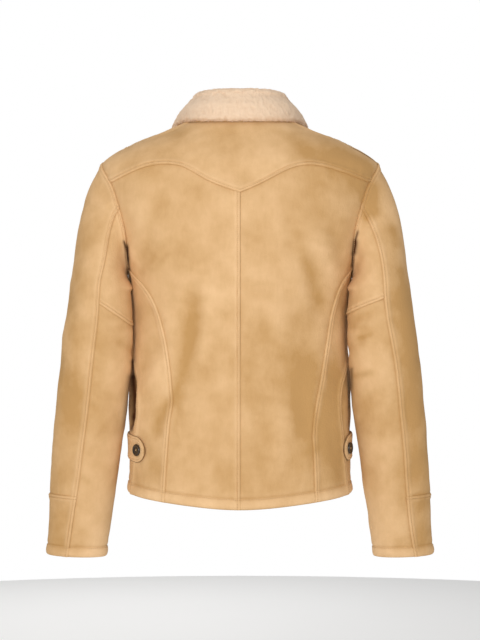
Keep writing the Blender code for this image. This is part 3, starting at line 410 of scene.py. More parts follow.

# Where the suede's colour is made darker: reach (+X), height, radius, and how much, on the back half.
BODY_DARK_PATCHES = (
    (0.150, -0.075, 0.040, 0.35),
    (-0.150, -0.080, 0.050, 0.40),
    (-0.200, -0.110, 0.030, 0.60),
    (-0.105, -0.125, 0.060, 0.25),
    (0.105, -0.155, 0.050, 0.22),
    (-0.085, -0.420, 0.075, 0.35),
    (-0.130, -0.520, 0.060, 0.40),
    (0.030, -0.560, 0.070, 0.18),
    (-0.030, -0.600, 0.060, 0.22),
    (0.150, -0.600, 0.040, 0.25),
    (-0.160, -0.330, 0.040, 0.30),
    (0.060, -0.380, 0.060, 0.15),
)


# ---------------------------------------------------------------- settings that a user would change
def metres(name, description, default, **limits):
    """A setting in metres."""
    return FloatProperty(
        name=name, description=description, default=default, subtype="DISTANCE", unit="LENGTH", **limits)


def tint(name, description, default):
    """A setting that is a colour."""
    return FloatVectorProperty(
        name=name, description=description, default=default, size=3, min=0, max=1, subtype="COLOR")


class JacketSizes(PropertyGroup):
    """Sizes of the cloth's finer shape."""
    cloth_step: metres(
        "Cloth step", "Distance between grid lines away from the edges", 0.0034, min=0.002, max=0.02)
    swell: metres("Swell", "Height of the hide's slow unevenness", SWELL)
    crease_share: FloatProperty(
        name="Creases", description="Share of the creases' full depth", default=1.0, min=0.0, max=1.5,
        subtype="FACTOR")
    pucker: metres("Pucker", "Height of the puckers beside a stitched seam", 0.00035)
    stitch_pitch: metres("Stitch pitch", "Distance from one stitch to the next", 0.0036)
    stitch_length: metres("Stitch length", "Visible length of a stitch", 0.0028)
    thread_radius: metres("Thread radius", "Radius of the sewing thread", 0.00034, precision=5)
    wool_lift: metres("Wool lumps", "Height of the collar's clumps of wool", 0.0013)
    lock_length: metres("Lock length", "Length of the collar's loose locks of wool", 0.0032)
    lock_count: IntProperty(
        name="Locks", description="Number of loose locks of wool on the collar", default=7000, min=0)


class JacketColours(PropertyGroup):
    """Colours of the hide, the wool, the thread and the buttons."""
    # The pale colour is the nap's own and also the painted highlight on ridges; the dark one is the nap's own and also
    # the painted shade in folds and along the shade strokes.
    suede_pale_nap_and_highlight: tint("Suede, raised nap", "Suede where the nap stands up or is worn", (0.80, 0.530, 0.290))
    suede_dark_nap_and_shade: tint("Suede, laid nap", "Suede where the nap lies down", (0.50, 0.285, 0.108))
    # The edge colour is painted shade in the hollows beside the seams; the thread also takes it for its darker tone.
    suede_crevice_shade_and_thread_tone: tint("Suede, edges", "Suede in the crevices and on the turned-in edges", (0.36, 0.175, 0.050))
    # The deep-fold colour is painted shadow, almost black.
    suede_shadow: tint("Suede, deep folds", "Suede deep in the folds under the arms", (0.055, 0.014, 0.001))
    wool_tip: tint("Wool tips", "Wool at the tips of its clumps", (0.96, 0.735, 0.54))
    # The root colour is partly the wool's own darker roots, partly painted shade in the hollows between the clumps.
    wool_root_and_shade: tint("Wool roots", "Wool between its clumps", (0.72, 0.47, 0.285))
    thread: tint("Thread", "Sewing thread", (0.62, 0.40, 0.19))
    horn: tint("Horn", "Buttons", (0.020, 0.009, 0.004))


# ---------------------------------------------------------------- curves through tables
def column(table, names, name):
    """One named column of a table, as an array."""
    return np.array([row[names.index(name)] for row in table], dtype=float)


def curve_through(knots, values, at):
    """The smooth curve through the knots: a cubic between each two, with slope and bend carried across."""
    order = np.argsort(knots)
    x, y = np.asarray(knots)[order], np.asarray(values)[order]
    step, rise = np.diff(x), np.diff(y) / np.diff(x)
    size = len(x)
    system, bend_of = np.eye(size), np.zeros(size)
    for row in range(1, size - 1):
        system[row, row - 1:row + 2] = step[row - 1], 2 * (step[row - 1] + step[row]), step[row]
        bend_of[row] = 6 * (rise[row] - rise[row - 1])
    bend = np.linalg.solve(system, bend_of)
    at = np.clip(np.asarray(at, dtype=float), x[0], x[-1])
    cell = np.clip(np.searchsorted(x, at) - 1, 0, size - 2)
    high, low = at - x[cell], x[cell + 1] - at
    width = step[cell]
    bent = (bend[cell] * (low ** 3 / width - width * low) + bend[cell + 1] * (high ** 3 / width - width * high)) / 6
    return bent + (y[cell] * low + y[cell + 1] * high) / width


def read(table, names, name, at, along="height"):
    """A table's column at any height, or along another of its columns."""
    return curve_through(column(table, names, along), column(table, names, name), at)


def ease(value):
    """0 below 0, 1 above 1, smooth between."""
    value = np.clip(value, 0, 1)
    return value * value * (3 - 2 * value)


def unit(vectors):
    """The vectors at length one."""
    return vectors / np.maximum(np.linalg.norm(vectors, axis=-1, keepdims=True), 1e-12)


def between(first, last, steps):
    """Even steps from one value or point to another."""
    return np.linspace(first, last, steps + 1)


def join(*lines):
    """Lines end to end, with each shared point once."""
    return np.concatenate([lines[0]] + [line[1:] for line in lines[1:]])


def run_along(points):
    """How far along a line of points each one lies."""
    return np.concatenate(((0.0,), np.cumsum(np.linalg.norm(np.diff(points, axis=0), axis=1))))


def values_along(at, run, rows):
    """Rows of numbers read at any runs, straight between those given."""
    return np.stack([np.interp(at, run, rows[:, n]) for n in range(rows.shape[1])], axis=-1)


def swell_at(points, length, seed, waves=18):
    """Smooth unevenness from -1 to 1 or so: a sum of sine waves of seeded directions, lengths and phases."""
    chance = np.random.default_rng(seed)
    ways = unit(chance.normal(size=(waves, 3))) * (2 * math.pi / length) * chance.uniform(0.5, 1.6, (waves, 1))
    phases = chance.uniform(0, 2 * math.pi, waves)
    return np.sin(points @ ways.T + phases).sum(axis=-1) / math.sqrt(waves / 2) / 2


def ripple(run, length, seed, waves=7):
    """Uneven ripples along a line, about -1 to 1: a sum of sine waves near one length."""
    chance = np.random.default_rng(seed)
    rates = 2 * math.pi / length * chance.uniform(0.45, 1.7, waves)
    phases = chance.uniform(0, 2 * math.pi, waves)
    return np.sin(run[..., None] * rates + phases).sum(axis=-1) / math.sqrt(waves)


def fold_depth(folds, angle, height, radius):
    """How far the folds sink the cloth: each is a bell-shaped trough about a line from its start to its end."""
    depth = np.zeros(np.broadcast(angle, height).shape)
    for start_angle, start_height, end_angle, end_height, half_width, deepest in folds:
        start = np.array((math.radians(start_angle) * radius, start_height))
        run = np.array((math.radians(end_angle) * radius, end_height)) - start
        across, up = angle * radius - start[0], height - start[1]
        along = np.clip((across * run[0] + up * run[1]) / (run @ run), 0, 1)
        off = (across - along * run[0]) ** 2 + (up - along * run[1]) ** 2
        depth = depth + deepest * np.exp(-off / half_width ** 2)
    return depth


# ---------------------------------------------------------------- the body's surface and its seam lines
def body_sizes(height):
    """Half width, back depth, front depth and squareness of the body's section at a height."""
    return [read(BODY_SECTIONS, BODY_COLUMNS, name, height) for name in BODY_COLUMNS[1:]]


def body_point(angle, height):
    """A point of the body: radius 1 / ((|sin|/half_width)^n + (|cos|/depth)^n)^(1/n) about the middle line."""
    angle, height = np.broadcast_arrays(np.asarray(angle, dtype=float), np.asarray(height, dtype=float))
    half_width, back, front, power = body_sizes(height)
    sine, cosine = np.sin(angle), np.cos(angle)
    depth = np.where(cosine > 0, back, front)
    radius = ((np.abs(sine) / half_width) ** power + (np.abs(cosine) / depth) ** power) ** (-1 / power)
    radius = radius - fold_depth(BODY_FOLDS, angle, height, BODY_GIRTH_RADIUS)
    return np.stack((radius * sine, radius * cosine, height), axis=-1)


def outward(surface, first, second, step=1e-3):
    """Unit normals of a surface of two parameters, from the slopes either side of each point."""
    along_first = surface(first + step, second) - surface(first - step, second)
    along_second = surface(first, second + step) - surface(first, second - step)
    return unit(np.cross(along_second, along_first))


def side_reach(toward_back, height):
    """How far out the body lies at a depth and a height."""
    half_width, back, front, power = body_sizes(height)
    depth = np.where(toward_back > 0, back, front)
    return half_width * (1 - (np.abs(toward_back) / depth) ** power) ** (1 / power)


def back_depth_at(reach, height):
    """How far back the body lies at a reach from the middle and a height."""
    half_width, back, _, power = body_sizes(height)
    return back * (1 - (np.abs(reach) / half_width) ** power) ** (1 / power)


def height_on_shoulder(reach, toward_back):
    """The height where the shoulder's slope passes a reach and a depth, found by halving the interval."""
    low = np.full(np.shape(reach), SHOULDER_LOWEST)
    high = np.full(np.shape(reach), SHOULDER_HIGHEST)
    for _ in range(40):
        middle = (low + high) / 2
        half_width, back, front, power = body_sizes(middle)
        depth = np.where(toward_back > 0, back, front)
        inside = (np.abs(reach) / half_width) ** power + (np.abs(toward_back) / depth) ** power < 1
        low, high = np.where(inside, middle, low), np.where(inside, high, middle)
    return (low + high) / 2


def armhole(turn):
    """The armhole at its own angles in degrees, as rows of body angle and height."""
    turn = np.radians(turn)
    middle, half = (ARMHOLE_TOP + ARMHOLE_BOTTOM) / 2, (ARMHOLE_TOP - ARMHOLE_BOTTOM) / 2
    height = middle + half * np.cos(turn)
    sine = np.sin(turn)
    toward_back = np.where(sine > 0, ARMHOLE_BACK_REACH, ARMHOLE_FRONT_REACH) * sine
    return np.stack((np.arctan2(side_reach(toward_back, height), toward_back), height), axis=-1)


def neckline(angle):
    """Level round the back, and a dip that grows with the square of the sine in front."""
    front = np.clip(np.abs(angle) - math.pi / 2, 0, None)
    return np.stack((angle, NECK_BACK_HEIGHT - NECK_FRONT_DROP * np.sin(front) ** 2), axis=-1)


def hem(angle):
    """Level at the sides, dipping to the centre back and a little to the centre front."""
    cosine = np.cos(angle)
    dip = np.where(cosine > 0, HEM_BACK_DIP, HEM_FRONT_DIP) * np.abs(cosine) ** HEM_DIP_POWER
    return np.stack((angle, HEM_SIDE_HEIGHT - dip), axis=-1)


def yoke_seam(side):
    """From the centre back to the armhole."""
    reach = between(0, 1, LINE_SAMPLES)
    end_angle, end_height = armhole(np.array(YOKE_AT))
    end_reach = body_point(end_angle, end_height)[0]
    reach = reach * end_reach
    height = read(YOKE_SEAM, YOKE_COLUMNS, side + "_height", reach, along="reach")
    height = height + (end_height - height[-1]) * ease(reach / end_reach * 2 - 1)
    return np.stack((np.arctan2(reach, back_depth_at(reach, height)), height), axis=-1)


def shoulder_seam():
    """From the armhole up to the neckline."""
    end_angle, end_height = armhole(np.array(SHOULDER_SEAM_AT))
    end = body_point(end_angle, end_height)
    reach = np.linspace(end[0], SHOULDER_SEAM[0][0], LINE_SAMPLES + 1)
    toward_back = read(SHOULDER_SEAM, SHOULDER_COLUMNS, "toward_back", reach, along="reach")
    bend = ease((reach - SHOULDER_BEND_FROM) / (end[0] - SHOULDER_BEND_FROM))
    toward_back = toward_back + (end[1] - toward_back[0]) * bend
    angle = np.arctan2(reach, toward_back)
    line = np.stack((angle, height_on_shoulder(reach, toward_back)), axis=-1)
    line[0] = end_angle, end_height
    line[-1] = neckline(angle[-1])
    return line


def down_seam(table, side, start):
    """From a point of the armhole down to the hem, through a table of angles."""
    end_angle = math.radians(read(table, SEAM_COLUMNS, side + "_angle", HEM_SIDE_HEIGHT))
    end = hem(np.array(end_angle))
    height = between(start[1], end[1], LINE_SAMPLES)
    angle = np.radians(read(table, SEAM_COLUMNS, side + "_angle", height))
    angle = angle + (start[0] - angle[0]) * (1 - ease((start[1] - height) / SEAM_EASE))
    angle[-1] = end_angle
    return np.stack((angle, height), axis=-1)


def lap_angle():
    """The lap at the centre front, as an angle at the hem."""
    return LAP / BODY_SECTIONS[-1][BODY_COLUMNS.index("front_depth")]


def lap_start():
    """The angle at which the upper front begins to rise over the lower one."""
    return math.pi - lap_angle() - math.radians(LAP_RISE_ANGLE)


# ---------------------------------------------------------------- the sleeve's surface and its seam lines
def sleeve_station(height):
    """The sleeve's own measure of length: 0 at the armhole, 1 under the cap, 2 at the cuff."""
    top = SLEEVE_SECTIONS[0][0]
    return 1 + (top - height) / (top - CUFF_HEIGHT)


def sleeve_height(station):
    """The height of a station below the cap."""
    top = SLEEVE_SECTIONS[0][0]
    return top + (station - 1) * (CUFF_HEIGHT - top)


def sleeve_oval(turn, height):
    """A tilted oval section: centre + half_width * cos outwards + half_depth * sin to the back."""
    centre_x, centre_y, half_width, half_depth, tilt = (
        read(SLEEVE_SECTIONS, SLEEVE_COLUMNS, name, height) for name in SLEEVE_COLUMNS[1:])
    tilt = np.radians(tilt)
    sunk = fold_depth(SLEEVE_FOLDS, np.mod(turn, 2 * math.pi), height, SLEEVE_GIRTH_RADIUS)
    sunk = sunk * ease((SLEEVE_SECTIONS[0][0] - height) / FOLD_RUN_IN)
    out, back = np.cos(turn), np.sin(turn)
    reach = half_width * out - sunk * out
    return np.stack((centre_x + reach * np.cos(tilt), centre_y + (half_depth - sunk) * back,
                     height + reach * np.sin(tilt)), axis=-1)


def cap_start(turn):
    """The way the cloth leaves the armhole: out and down, and more outwards under the arm."""
    below = (1 - np.cos(turn)) / 2
    return unit(np.stack((CAP_OUT[0] + CAP_OUT[1] * below ** 3, CAP_BACK[0] * np.sin(turn) + CAP_BACK[1] * below ** 2,
                          CAP_UP[0] + CAP_UP[1] * below ** 3), axis=-1))


def sleeve_point(turn, station):
    """The cap is a cubic from the armhole to the first oval, with both directions kept. Ovals follow below."""
    turn, station = np.broadcast_arrays(np.asarray(turn, dtype=float), np.asarray(station, dtype=float))
    top = SLEEVE_SECTIONS[0][0]
    ring = armhole(np.degrees(turn))
    start, end = body_point(ring[..., 0], ring[..., 1]), sleeve_oval(turn, top)
    length = np.linalg.norm(end - start, axis=-1, keepdims=True)
    leave = cap_start(turn) * length
    arrive = (sleeve_oval(turn, top - CAP_PROBE) - end) / CAP_PROBE * length
    part = np.clip(station, -0.01, 1)[..., None]
    cap = ((2 * part ** 3 - 3 * part ** 2 + 1) * start + (part ** 3 - 2 * part ** 2 + part) * leave
           + (3 * part ** 2 - 2 * part ** 3) * end + (part ** 3 - part ** 2) * arrive)
    return np.where(station[..., None] < 1, cap, sleeve_oval(turn, sleeve_height(np.maximum(station, 1))))


def sleeve_seam(which, start, end):
    """A stretch of a sleeve seam between two stations, as rows of turn and station."""
    station = between(start, end, LINE_SAMPLES)
    first = SLEEVE_FRONT_SEAM_AT if which == "front" else SLEEVE_BACK_SEAM_AT
    below = read(SLEEVE_SEAMS, SLEEVE_SEAM_COLUMNS, which, sleeve_height(np.maximum(station, 1)))
    bow = SLEEVE_SEAM_BOW[which] * np.sin(math.pi * np.clip(station, 0, 1)) ** 2
    return np.stack((np.radians(first + (below - first) * ease(station) + bow), station), axis=-1)


def shared_armhole_normals(turn):
    """Normals of body and sleeve at the armhole: halfway between the two, except in the crease under the arm."""
    ring = armhole(np.degrees(turn))
    body = outward(body_point, ring[..., 0], ring[..., 1])
    sleeve = outward(sleeve_point, turn, np.full(np.shape(turn), CREASE_PROBE))
    middle = unit(body + sleeve)
    share = ease((np.sum(body * sleeve, axis=-1, keepdims=True) - CREASE_FROM) / CREASE_RANGE)
    return unit(body + (middle - body) * share), unit(sleeve + (middle - sleeve) * share)


# ---------------------------------------------------------------- shader maths
class Value:
    """A number in a material. Arithmetic on it adds Math nodes."""

    def __init__(self, graph, socket):
        self.graph = graph
        self.socket = socket

    def math(self, operation, *others, clamp=False):
        return self.graph.node("ShaderNodeMath", {"operation": operation, "use_clamp": clamp},
                               {n: v for n, v in enumerate((self, *others))})

    def __add__(self, other):
        return self.math("ADD", other)

    def __sub__(self, other):
        return self.math("SUBTRACT", other)

    def __rsub__(self, other):
        return self.graph.node("ShaderNodeMath", {"operation": "SUBTRACT"}, {0: other, 1: self})

    def __mul__(self, other):
        return self.math("MULTIPLY", other)

    __radd__ = __add__
    __rmul__ = __mul__

    def clamped(self):
        return self.math("ADD", 0.0, clamp=True)


class Graph:
    """The nodes of one material."""

    def __init__(self, name):
        self.material = bpy.data.materials.new(name)
        self.material.use_nodes = True
        self.tree = self.material.node_tree
        self.shader = self.tree.nodes["Principled BSDF"]

    def node(self, kind, settings=None, inputs=None, output=0):
        """Adds a node: first its settings, then its inputs as values or links. Gives one of its outputs."""
        made = self.tree.nodes.new(kind)
        for name, value in (settings or {}).items():
            setattr(made, name, value)
        for name, value in (inputs or {}).items():
            self.put(made.inputs[name], value)
        return Value(self, made.outputs[output])

    def put(self, socket, value):
        if isinstance(value, Value):
            self.tree.links.new(value.socket, socket)
        elif hasattr(socket.default_value, "__len__") and len(value) == 3 and len(socket.default_value) == 4:
            socket.default_value = (*value, 1.0)
        else:
            socket.default_value = value

    def place(self):
        return self.node("ShaderNodeTexCoord", output="Object")

    def stretched(self, place, scale):
        return self.node("ShaderNodeVectorMath", {"operation": "MULTIPLY"}, {0: place, 1: scale})

    def noise(self, place, scale, detail=2.0, roughness=0.5, distortion=0.0):
        """Cloudy noise about 0, mostly within -1 to 1."""
        made = self.node("ShaderNodeTexNoise", {"noise_dimensions": "3D"}, {
            "Vector": place, "Scale": scale, "Detail": detail, "Roughness": roughness, "Distortion": distortion})
        return (made - 0.5) * 3.2

    def cells(self, place, scale):
        """Distance to the nearest of scattered points, in cells."""
        return self.node("ShaderNodeTexVoronoi", {"feature": "F1"}, {"Vector": place, "Scale": scale})

    def attribute(self, name):
        return self.node("ShaderNodeAttribute", {"attribute_name": name}, output="Fac")

    def blend(self, share, first, second):
        """A colour on the way from the first to the second, through the Mix node's sockets for colours."""
        made = self.tree.nodes.new("ShaderNodeMix")
        made.data_type = "RGBA"
        made.clamp_factor = True
        self.put(made.inputs[0], share)
        self.put(made.inputs[6], first)
        self.put(made.inputs[7], second)
        return Value(self, made.outputs[2])

    def bump(self, height, distance, strength):
        return self.node("ShaderNodeBump", {}, {"Height": height, "Distance": distance, "Strength": strength})

    def finish(self, links, constants):
        """Links the varying inputs of the shader, and sets the constant ones on its own sockets."""
        for name, value in links.items():
            self.put(self.shader.inputs[name], value)
        for name, value in constants.items():
            self.put(self.shader.inputs[name], value)
        return self.material


def material(name, build, *sizes):
    """The material of that name, built the first time it is asked for."""
    return bpy.data.materials.get(name) or build(Graph(name), bpy.context.scene.jacket_colours, *sizes)


def napped_suede(g, colours):
    """Napped suede: slow clouds where the nap lies this way or that, brushed streaks and a fine grain. Darker in the
    listed dark patches and with painted shade in the folds and along the shade strokes, paler with painted highlight on
    ridges (on seam ridges partly wear), and darkest with painted shade beside the seams and painted shadow in the deep
    folds."""
    place = g.place()
    clouds = g.noise(place, 13.0, 2.5, 0.55, 0.4)
    blotches = g.noise(place, 38.0, 3.0, 0.6)
    brushed = g.noise(g.stretched(place, (1.0, 1.0, 0.32)), 150.0, 3.0, 0.6, 0.6)
    grain = g.noise(place, 950.0, 2.0, 0.6)
    # Share of the pale colour: the nap's clouds, streaks and grain, with painted highlight on raised places and painted
    # shade in the folds from the relief value, less the dark patches and the painted shade strokes.
    nap = (0.56 + clouds * 0.21 + blotches * 0.14 + brushed * 0.07 + grain * 0.05 + g.attribute("relief") * 0.34
           - g.attribute("dark_patches_and_shade") * 0.85)
    colour = g.blend(nap.clamped(), tuple(colours.suede_dark_nap_and_shade), tuple(colours.suede_pale_nap_and_highlight))
    # Painted shade beside the seams.
    colour = g.blend((g.attribute("crevice_shade") * 0.85).clamped(), colour, tuple(colours.suede_crevice_shade_and_thread_tone))
    # Painted shadow, almost black, in the deep folds under the arms and round the tabs.
    colour = g.blend(g.attribute("deep").clamped(), colour, tuple(colours.suede_shadow))
    height = grain * 0.35 + brushed * 0.5 + g.noise(place, 330.0, 2.0, 0.6) * 0.6
    return g.finish(
        {"Base Color": colour, "Roughness": (0.90 - clouds * 0.03 + grain * 0.03).clamped(),
         "Normal": g.bump(height, 0.00022, 0.75)},
        {"Sheen Weight": 0.11, "Sheen Roughness": 0.45, "Sheen Tint": (1.0, 0.74, 0.45),
         "Specular IOR Level": 0.18})


def clipped_wool(g, colours, lump_scale, bump_depth):
    """Clipped wool: clumps with pale tips and darker roots, and fine fibres. It darkens where its bump sinks between
    the clumps, partly the wool's own roots and partly painted shade, and more by the painted shade value.
    """
    place = g.place()
    lumps = g.cells(g.stretched(place, (1.0, 1.0, 0.72)), lump_scale)
    small = g.noise(place, lump_scale * 2.6, 3.0, 0.65, 0.8)
    fibres = g.noise(g.stretched(place, (1.0, 1.0, 0.4)), 1400.0, 2.0, 0.6)
    clouds = g.noise(place, 24.0, 2.0)
    # Lower between the clumps, where the bump sinks, partly the roots' own colour and partly painted shade; lower still
    # by the painted shade value.
    tips = 0.88 - lumps * 0.18 + small * 0.09 + fibres * 0.05 + clouds * 0.07 - g.attribute("crevice_shade") * 0.55
    colour = g.blend(tips.clamped(), tuple(colours.wool_root_and_shade), tuple(colours.wool_tip))
    height = small * 0.5 - lumps * 0.9 + fibres * 0.25
    return g.finish(
        {"Base Color": colour, "Roughness": (0.93 + small * 0.03).clamped(),
         "Normal": g.bump(height, bump_depth, 0.8)},
        {"Sheen Weight": 0.30, "Sheen Roughness": 0.5, "Sheen Tint": (1.0, 0.93, 0.82),
         "Specular IOR Level": 0.12})


def sewing_thread(g, colours):
    """Twisted sewing thread."""
    tone = g.noise(g.place(), 260.0, 2.0)
    # The thread's darker tone, at random, takes the colour of the painted seam shade.
    colour = g.blend((0.35 + tone * 0.3).clamped(), tuple(colours.thread), tuple(colours.suede_crevice_shade_and_thread_tone))
    twist = g.noise(g.place(), 2600.0, 1.0)
    return g.finish({"Base Color": colour, "Roughness": (0.62 + tone * 0.1).clamped(),
                     "Normal": g.bump(twist, 0.0001, 0.5)}, {"Sheen Weight": 0.1})


def dark_horn(g, colours):
    """Polished dark horn with faint paler streaks."""
    place = g.place()
    streaks = g.noise(g.stretched(place, (1.0, 1.0, 0.25)), 420.0, 3.0, 0.6, 1.2)
    scuffs = g.noise(place, 1500.0, 2.0)
    colour = g.blend((streaks * 0.35).clamped(), tuple(colours.horn), (0.16, 0.085, 0.045))
    return g.finish({"Base Color": colour, "Roughness": (0.30 + scuffs * 0.06).clamped(),
                     "Normal": g.bump(scuffs, 0.00003, 0.4)}, {"Specular IOR Level": 0.42})


# ---------------------------------------------------------------- meshes
def mesh_object(name, points, faces, materials, face_materials=None, values=None, sharp=None):
    """A mesh of four-sided or three-sided faces at the origin, with its materials and its values at the points."""
    mesh = bpy.data.meshes.new(name)
    faces = np.asarray(faces)
    mesh.vertices.add(len(points))
    mesh.vertices.foreach_set("co", np.asarray(points, dtype=np.float32).ravel())
    mesh.loops.add(faces.size)
    mesh.loops.foreach_set("vertex_index", faces.astype(np.int32).ravel())
    mesh.polygons.add(len(faces))
    mesh.polygons.foreach_set("loop_start", np.arange(0, faces.size, faces.shape[1], dtype=np.int32))
    mesh.update(calc_edges=True)
    for material in materials:
        mesh.materials.append(material)
    if face_materials is not None:
        mesh.polygons.foreach_set("material_index", np.asarray(face_materials, dtype=np.int32))
    for value_name, numbers in (values or {}).items():
        layer = mesh.attributes.new(value_name, "FLOAT", "POINT")
        layer.data.foreach_set("value", np.asarray(numbers, dtype=np.float32).ravel())
    mesh.validate()
    mesh.shade_smooth()
    if sharp:
        mesh.set_sharp_from_angle(angle=math.radians(sharp))
    made = bpy.data.objects.new(name, mesh)
    bpy.context.scene.collection.objects.link(made)
    return made


def grid_faces(rows, columns, first=0):
    """Corner numbers of the four-sided faces of a grid of rows x columns points."""
    corner = first + np.arange(rows * columns).reshape(rows, columns)
    return np.stack((corner[:-1, :-1], corner[:-1, 1:], corner[1:, 1:], corner[1:, :-1]), -1).reshape(-1, 4)


def tube_faces(rings, around):
    """Corner numbers of the four-sided faces of a tube of rings of points."""
    number = np.arange(rings * around).reshape(rings, around)
    after = np.roll(number, -1, axis=1)
    return np.stack((number[:-1], after[:-1], after[1:], number[1:]), axis=-1).reshape(-1, 4)


def in_threes(faces):
    """Four-sided faces cut into triangles."""
    return np.concatenate((faces[:, [0, 1, 2]], faces[:, [0, 2, 3]]))


def closed_tube(shape, ends):
    """Points and triangles of a tube of rings of points. A fan to each of two end points closes it, and all faces
    are turned round where the signed volume inside them is negative."""
    rings, around = shape.shape[:2]
    ring = np.arange(around)
    after, far, last = np.roll(ring, -1), (rings - 1) * around, rings * around
    caps = np.concatenate((np.stack((after, ring, np.full(around, last)), -1),
                           np.stack((ring + far, after + far, np.full(around, last + 1)), -1)))
    points = np.concatenate((shape.reshape(-1, 3), ends))
    triangles = np.concatenate((in_threes(tube_faces(rings, around)), caps))
    a, b, c = (points[triangles[:, n]] for n in range(3))
    if (np.cross(a, b) * c).sum() < 0:
        triangles = triangles[:, ::-1]
    return points, triangles


def many(one, size, count):
    """Faces of many like meshes one after another, each of so many points."""
    return (one[None] + size * np.arange(count)[:, None, None]).reshape(-1, one.shape[1])


def mirror(side):
    """What turns a point on the wearer's left into one on that side."""
    return np.array((SIDES[side], 1, 1))


def ride_and_stand_for(piece, node):
    """The piece moves with the jacket, and stands for its solid."""
    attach(piece, "root")
    if node:
        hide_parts(node)


# ---------------------------------------------------------------- cut pieces
NEAR_AT_ONCE = 1500  # points measured at a time, which bounds the memory taken


def near(points, line, reach):
    """Distance from each point to a line of points, up to reach, and how far along the line it is nearest.

    Each stretch of the line is a segment: the point is projected on it and held between its ends."""
    distance = np.full(len(points), reach)
    along = np.zeros(len(points))
    low, high = line.min(axis=0) - reach, line.max(axis=0) + reach
    chosen = np.nonzero(((points > low) & (points < high)).all(axis=1))[0]
    start, run = line[:-1], np.diff(line, axis=0)
    length_squared = np.maximum((run ** 2).sum(axis=1), 1e-16)
    for block in np.array_split(chosen, max(1, len(chosen) // NEAR_AT_ONCE)):
        offset = points[block][:, None] - start[None]
        part = np.clip((offset * run).sum(axis=-1) / length_squared, 0, 1)
        away = np.linalg.norm(offset - part[..., None] * run, axis=-1)
        best = away.argmin(axis=1)
        rows = np.arange(len(block))
        distance[block] = np.minimum(away[rows, best], reach)
        along[block] = best + part[rows, best]
    return distance, along


def stations(length, start_kind, end_kind, step):
    """Shares of a length for the grid lines: close together beside the edges, and a cloth step apart between."""
    bands = [np.array(HEM_BAND if kind == "hem" else FINE_BAND) for kind in (start_kind, end_kind)]
    room = length * BAND_ROOM
    bands = [band * min(1.0, room / band[-1]) for band in bands]
    first, last = bands[0][-1], length - bands[1][-1]
    count = max(2, int(round((last - first) / step)))
    middle = np.linspace(first, last, count + 1)
    return np.concatenate((bands[0], middle[1:-1], length - bands[1][::-1])) / length


def length_of(surface, line):
    """Length of a line of parameters on its surface."""
    return float(np.linalg.norm(np.diff(surface(line[:, 0], line[:, 1]), axis=0), axis=1).sum())


def at_shares(surface, line, shares):
    """The line's parameters at shares of its real length."""
    run = run_along(surface(line[:, 0], line[:, 1]))
    return values_along(shares, run / run[-1], line)


def patch(bottom, top, first, last, across, up):
    """Fills four edges: the mean of the two ways across, less what both count."""
    across, up = across[None, :, None], up[:, None, None]
    rows = (1 - across) * first[:, None] + across * last[:, None]
    columns = (1 - up) * bottom[None] + up * top[None]
    corners = (1 - up) * ((1 - across) * bottom[0] + across * bottom[-1])
    return rows + columns - corners - up * ((1 - across) * top[0] + across * top[-1])


def crevice_shade_at(kind, distance):
    """How much painted shade falls at distances from an edge of a kind."""
    value = np.zeros(len(distance))
    for amount, place, half_width in CREVICE_SHADES.get(kind, ()):
        faded = 1 - ease(distance / half_width) if place == 0 else np.exp(-((distance - place) / half_width) ** 2)
        value = np.maximum(value, amount * faded)
    return value


class Side:
    """One edge of a cut piece: stretches of seam line, each with how it is finished."""

    def __init__(self, *stretches):
        self.stretches = [(kind, np.asarray(line, dtype=float), turns) for kind, line, turns in stretches]
        self.line = join(*[line for _, line, _ in self.stretches])
        self.kind = "hem" if any(kind == "hem" for kind, _, _ in self.stretches) else "seam"

    def holds(self, wanted, shares):
        """Which shares of the edge's length lie on one of its stretches."""
        lengths = [np.linalg.norm(np.diff(line, axis=0) * np.array((BODY_GIRTH_RADIUS, 1.0)), axis=1).sum()
                   for _, line, _ in self.stretches]
        number = [line is wanted for _, line, _ in self.stretches].index(True)
        low, high = sum(lengths[:number]) / sum(lengths), sum(lengths[:number + 1]) / sum(lengths)
        return (shares >= low - 1e-6) & (shares <= high + 1e-6)


def stretch(kind, line, armhole_turns=None):
    """A stretch of an edge, with its armhole turns in radians where it lies on the armhole."""
    return kind, line, armhole_turns


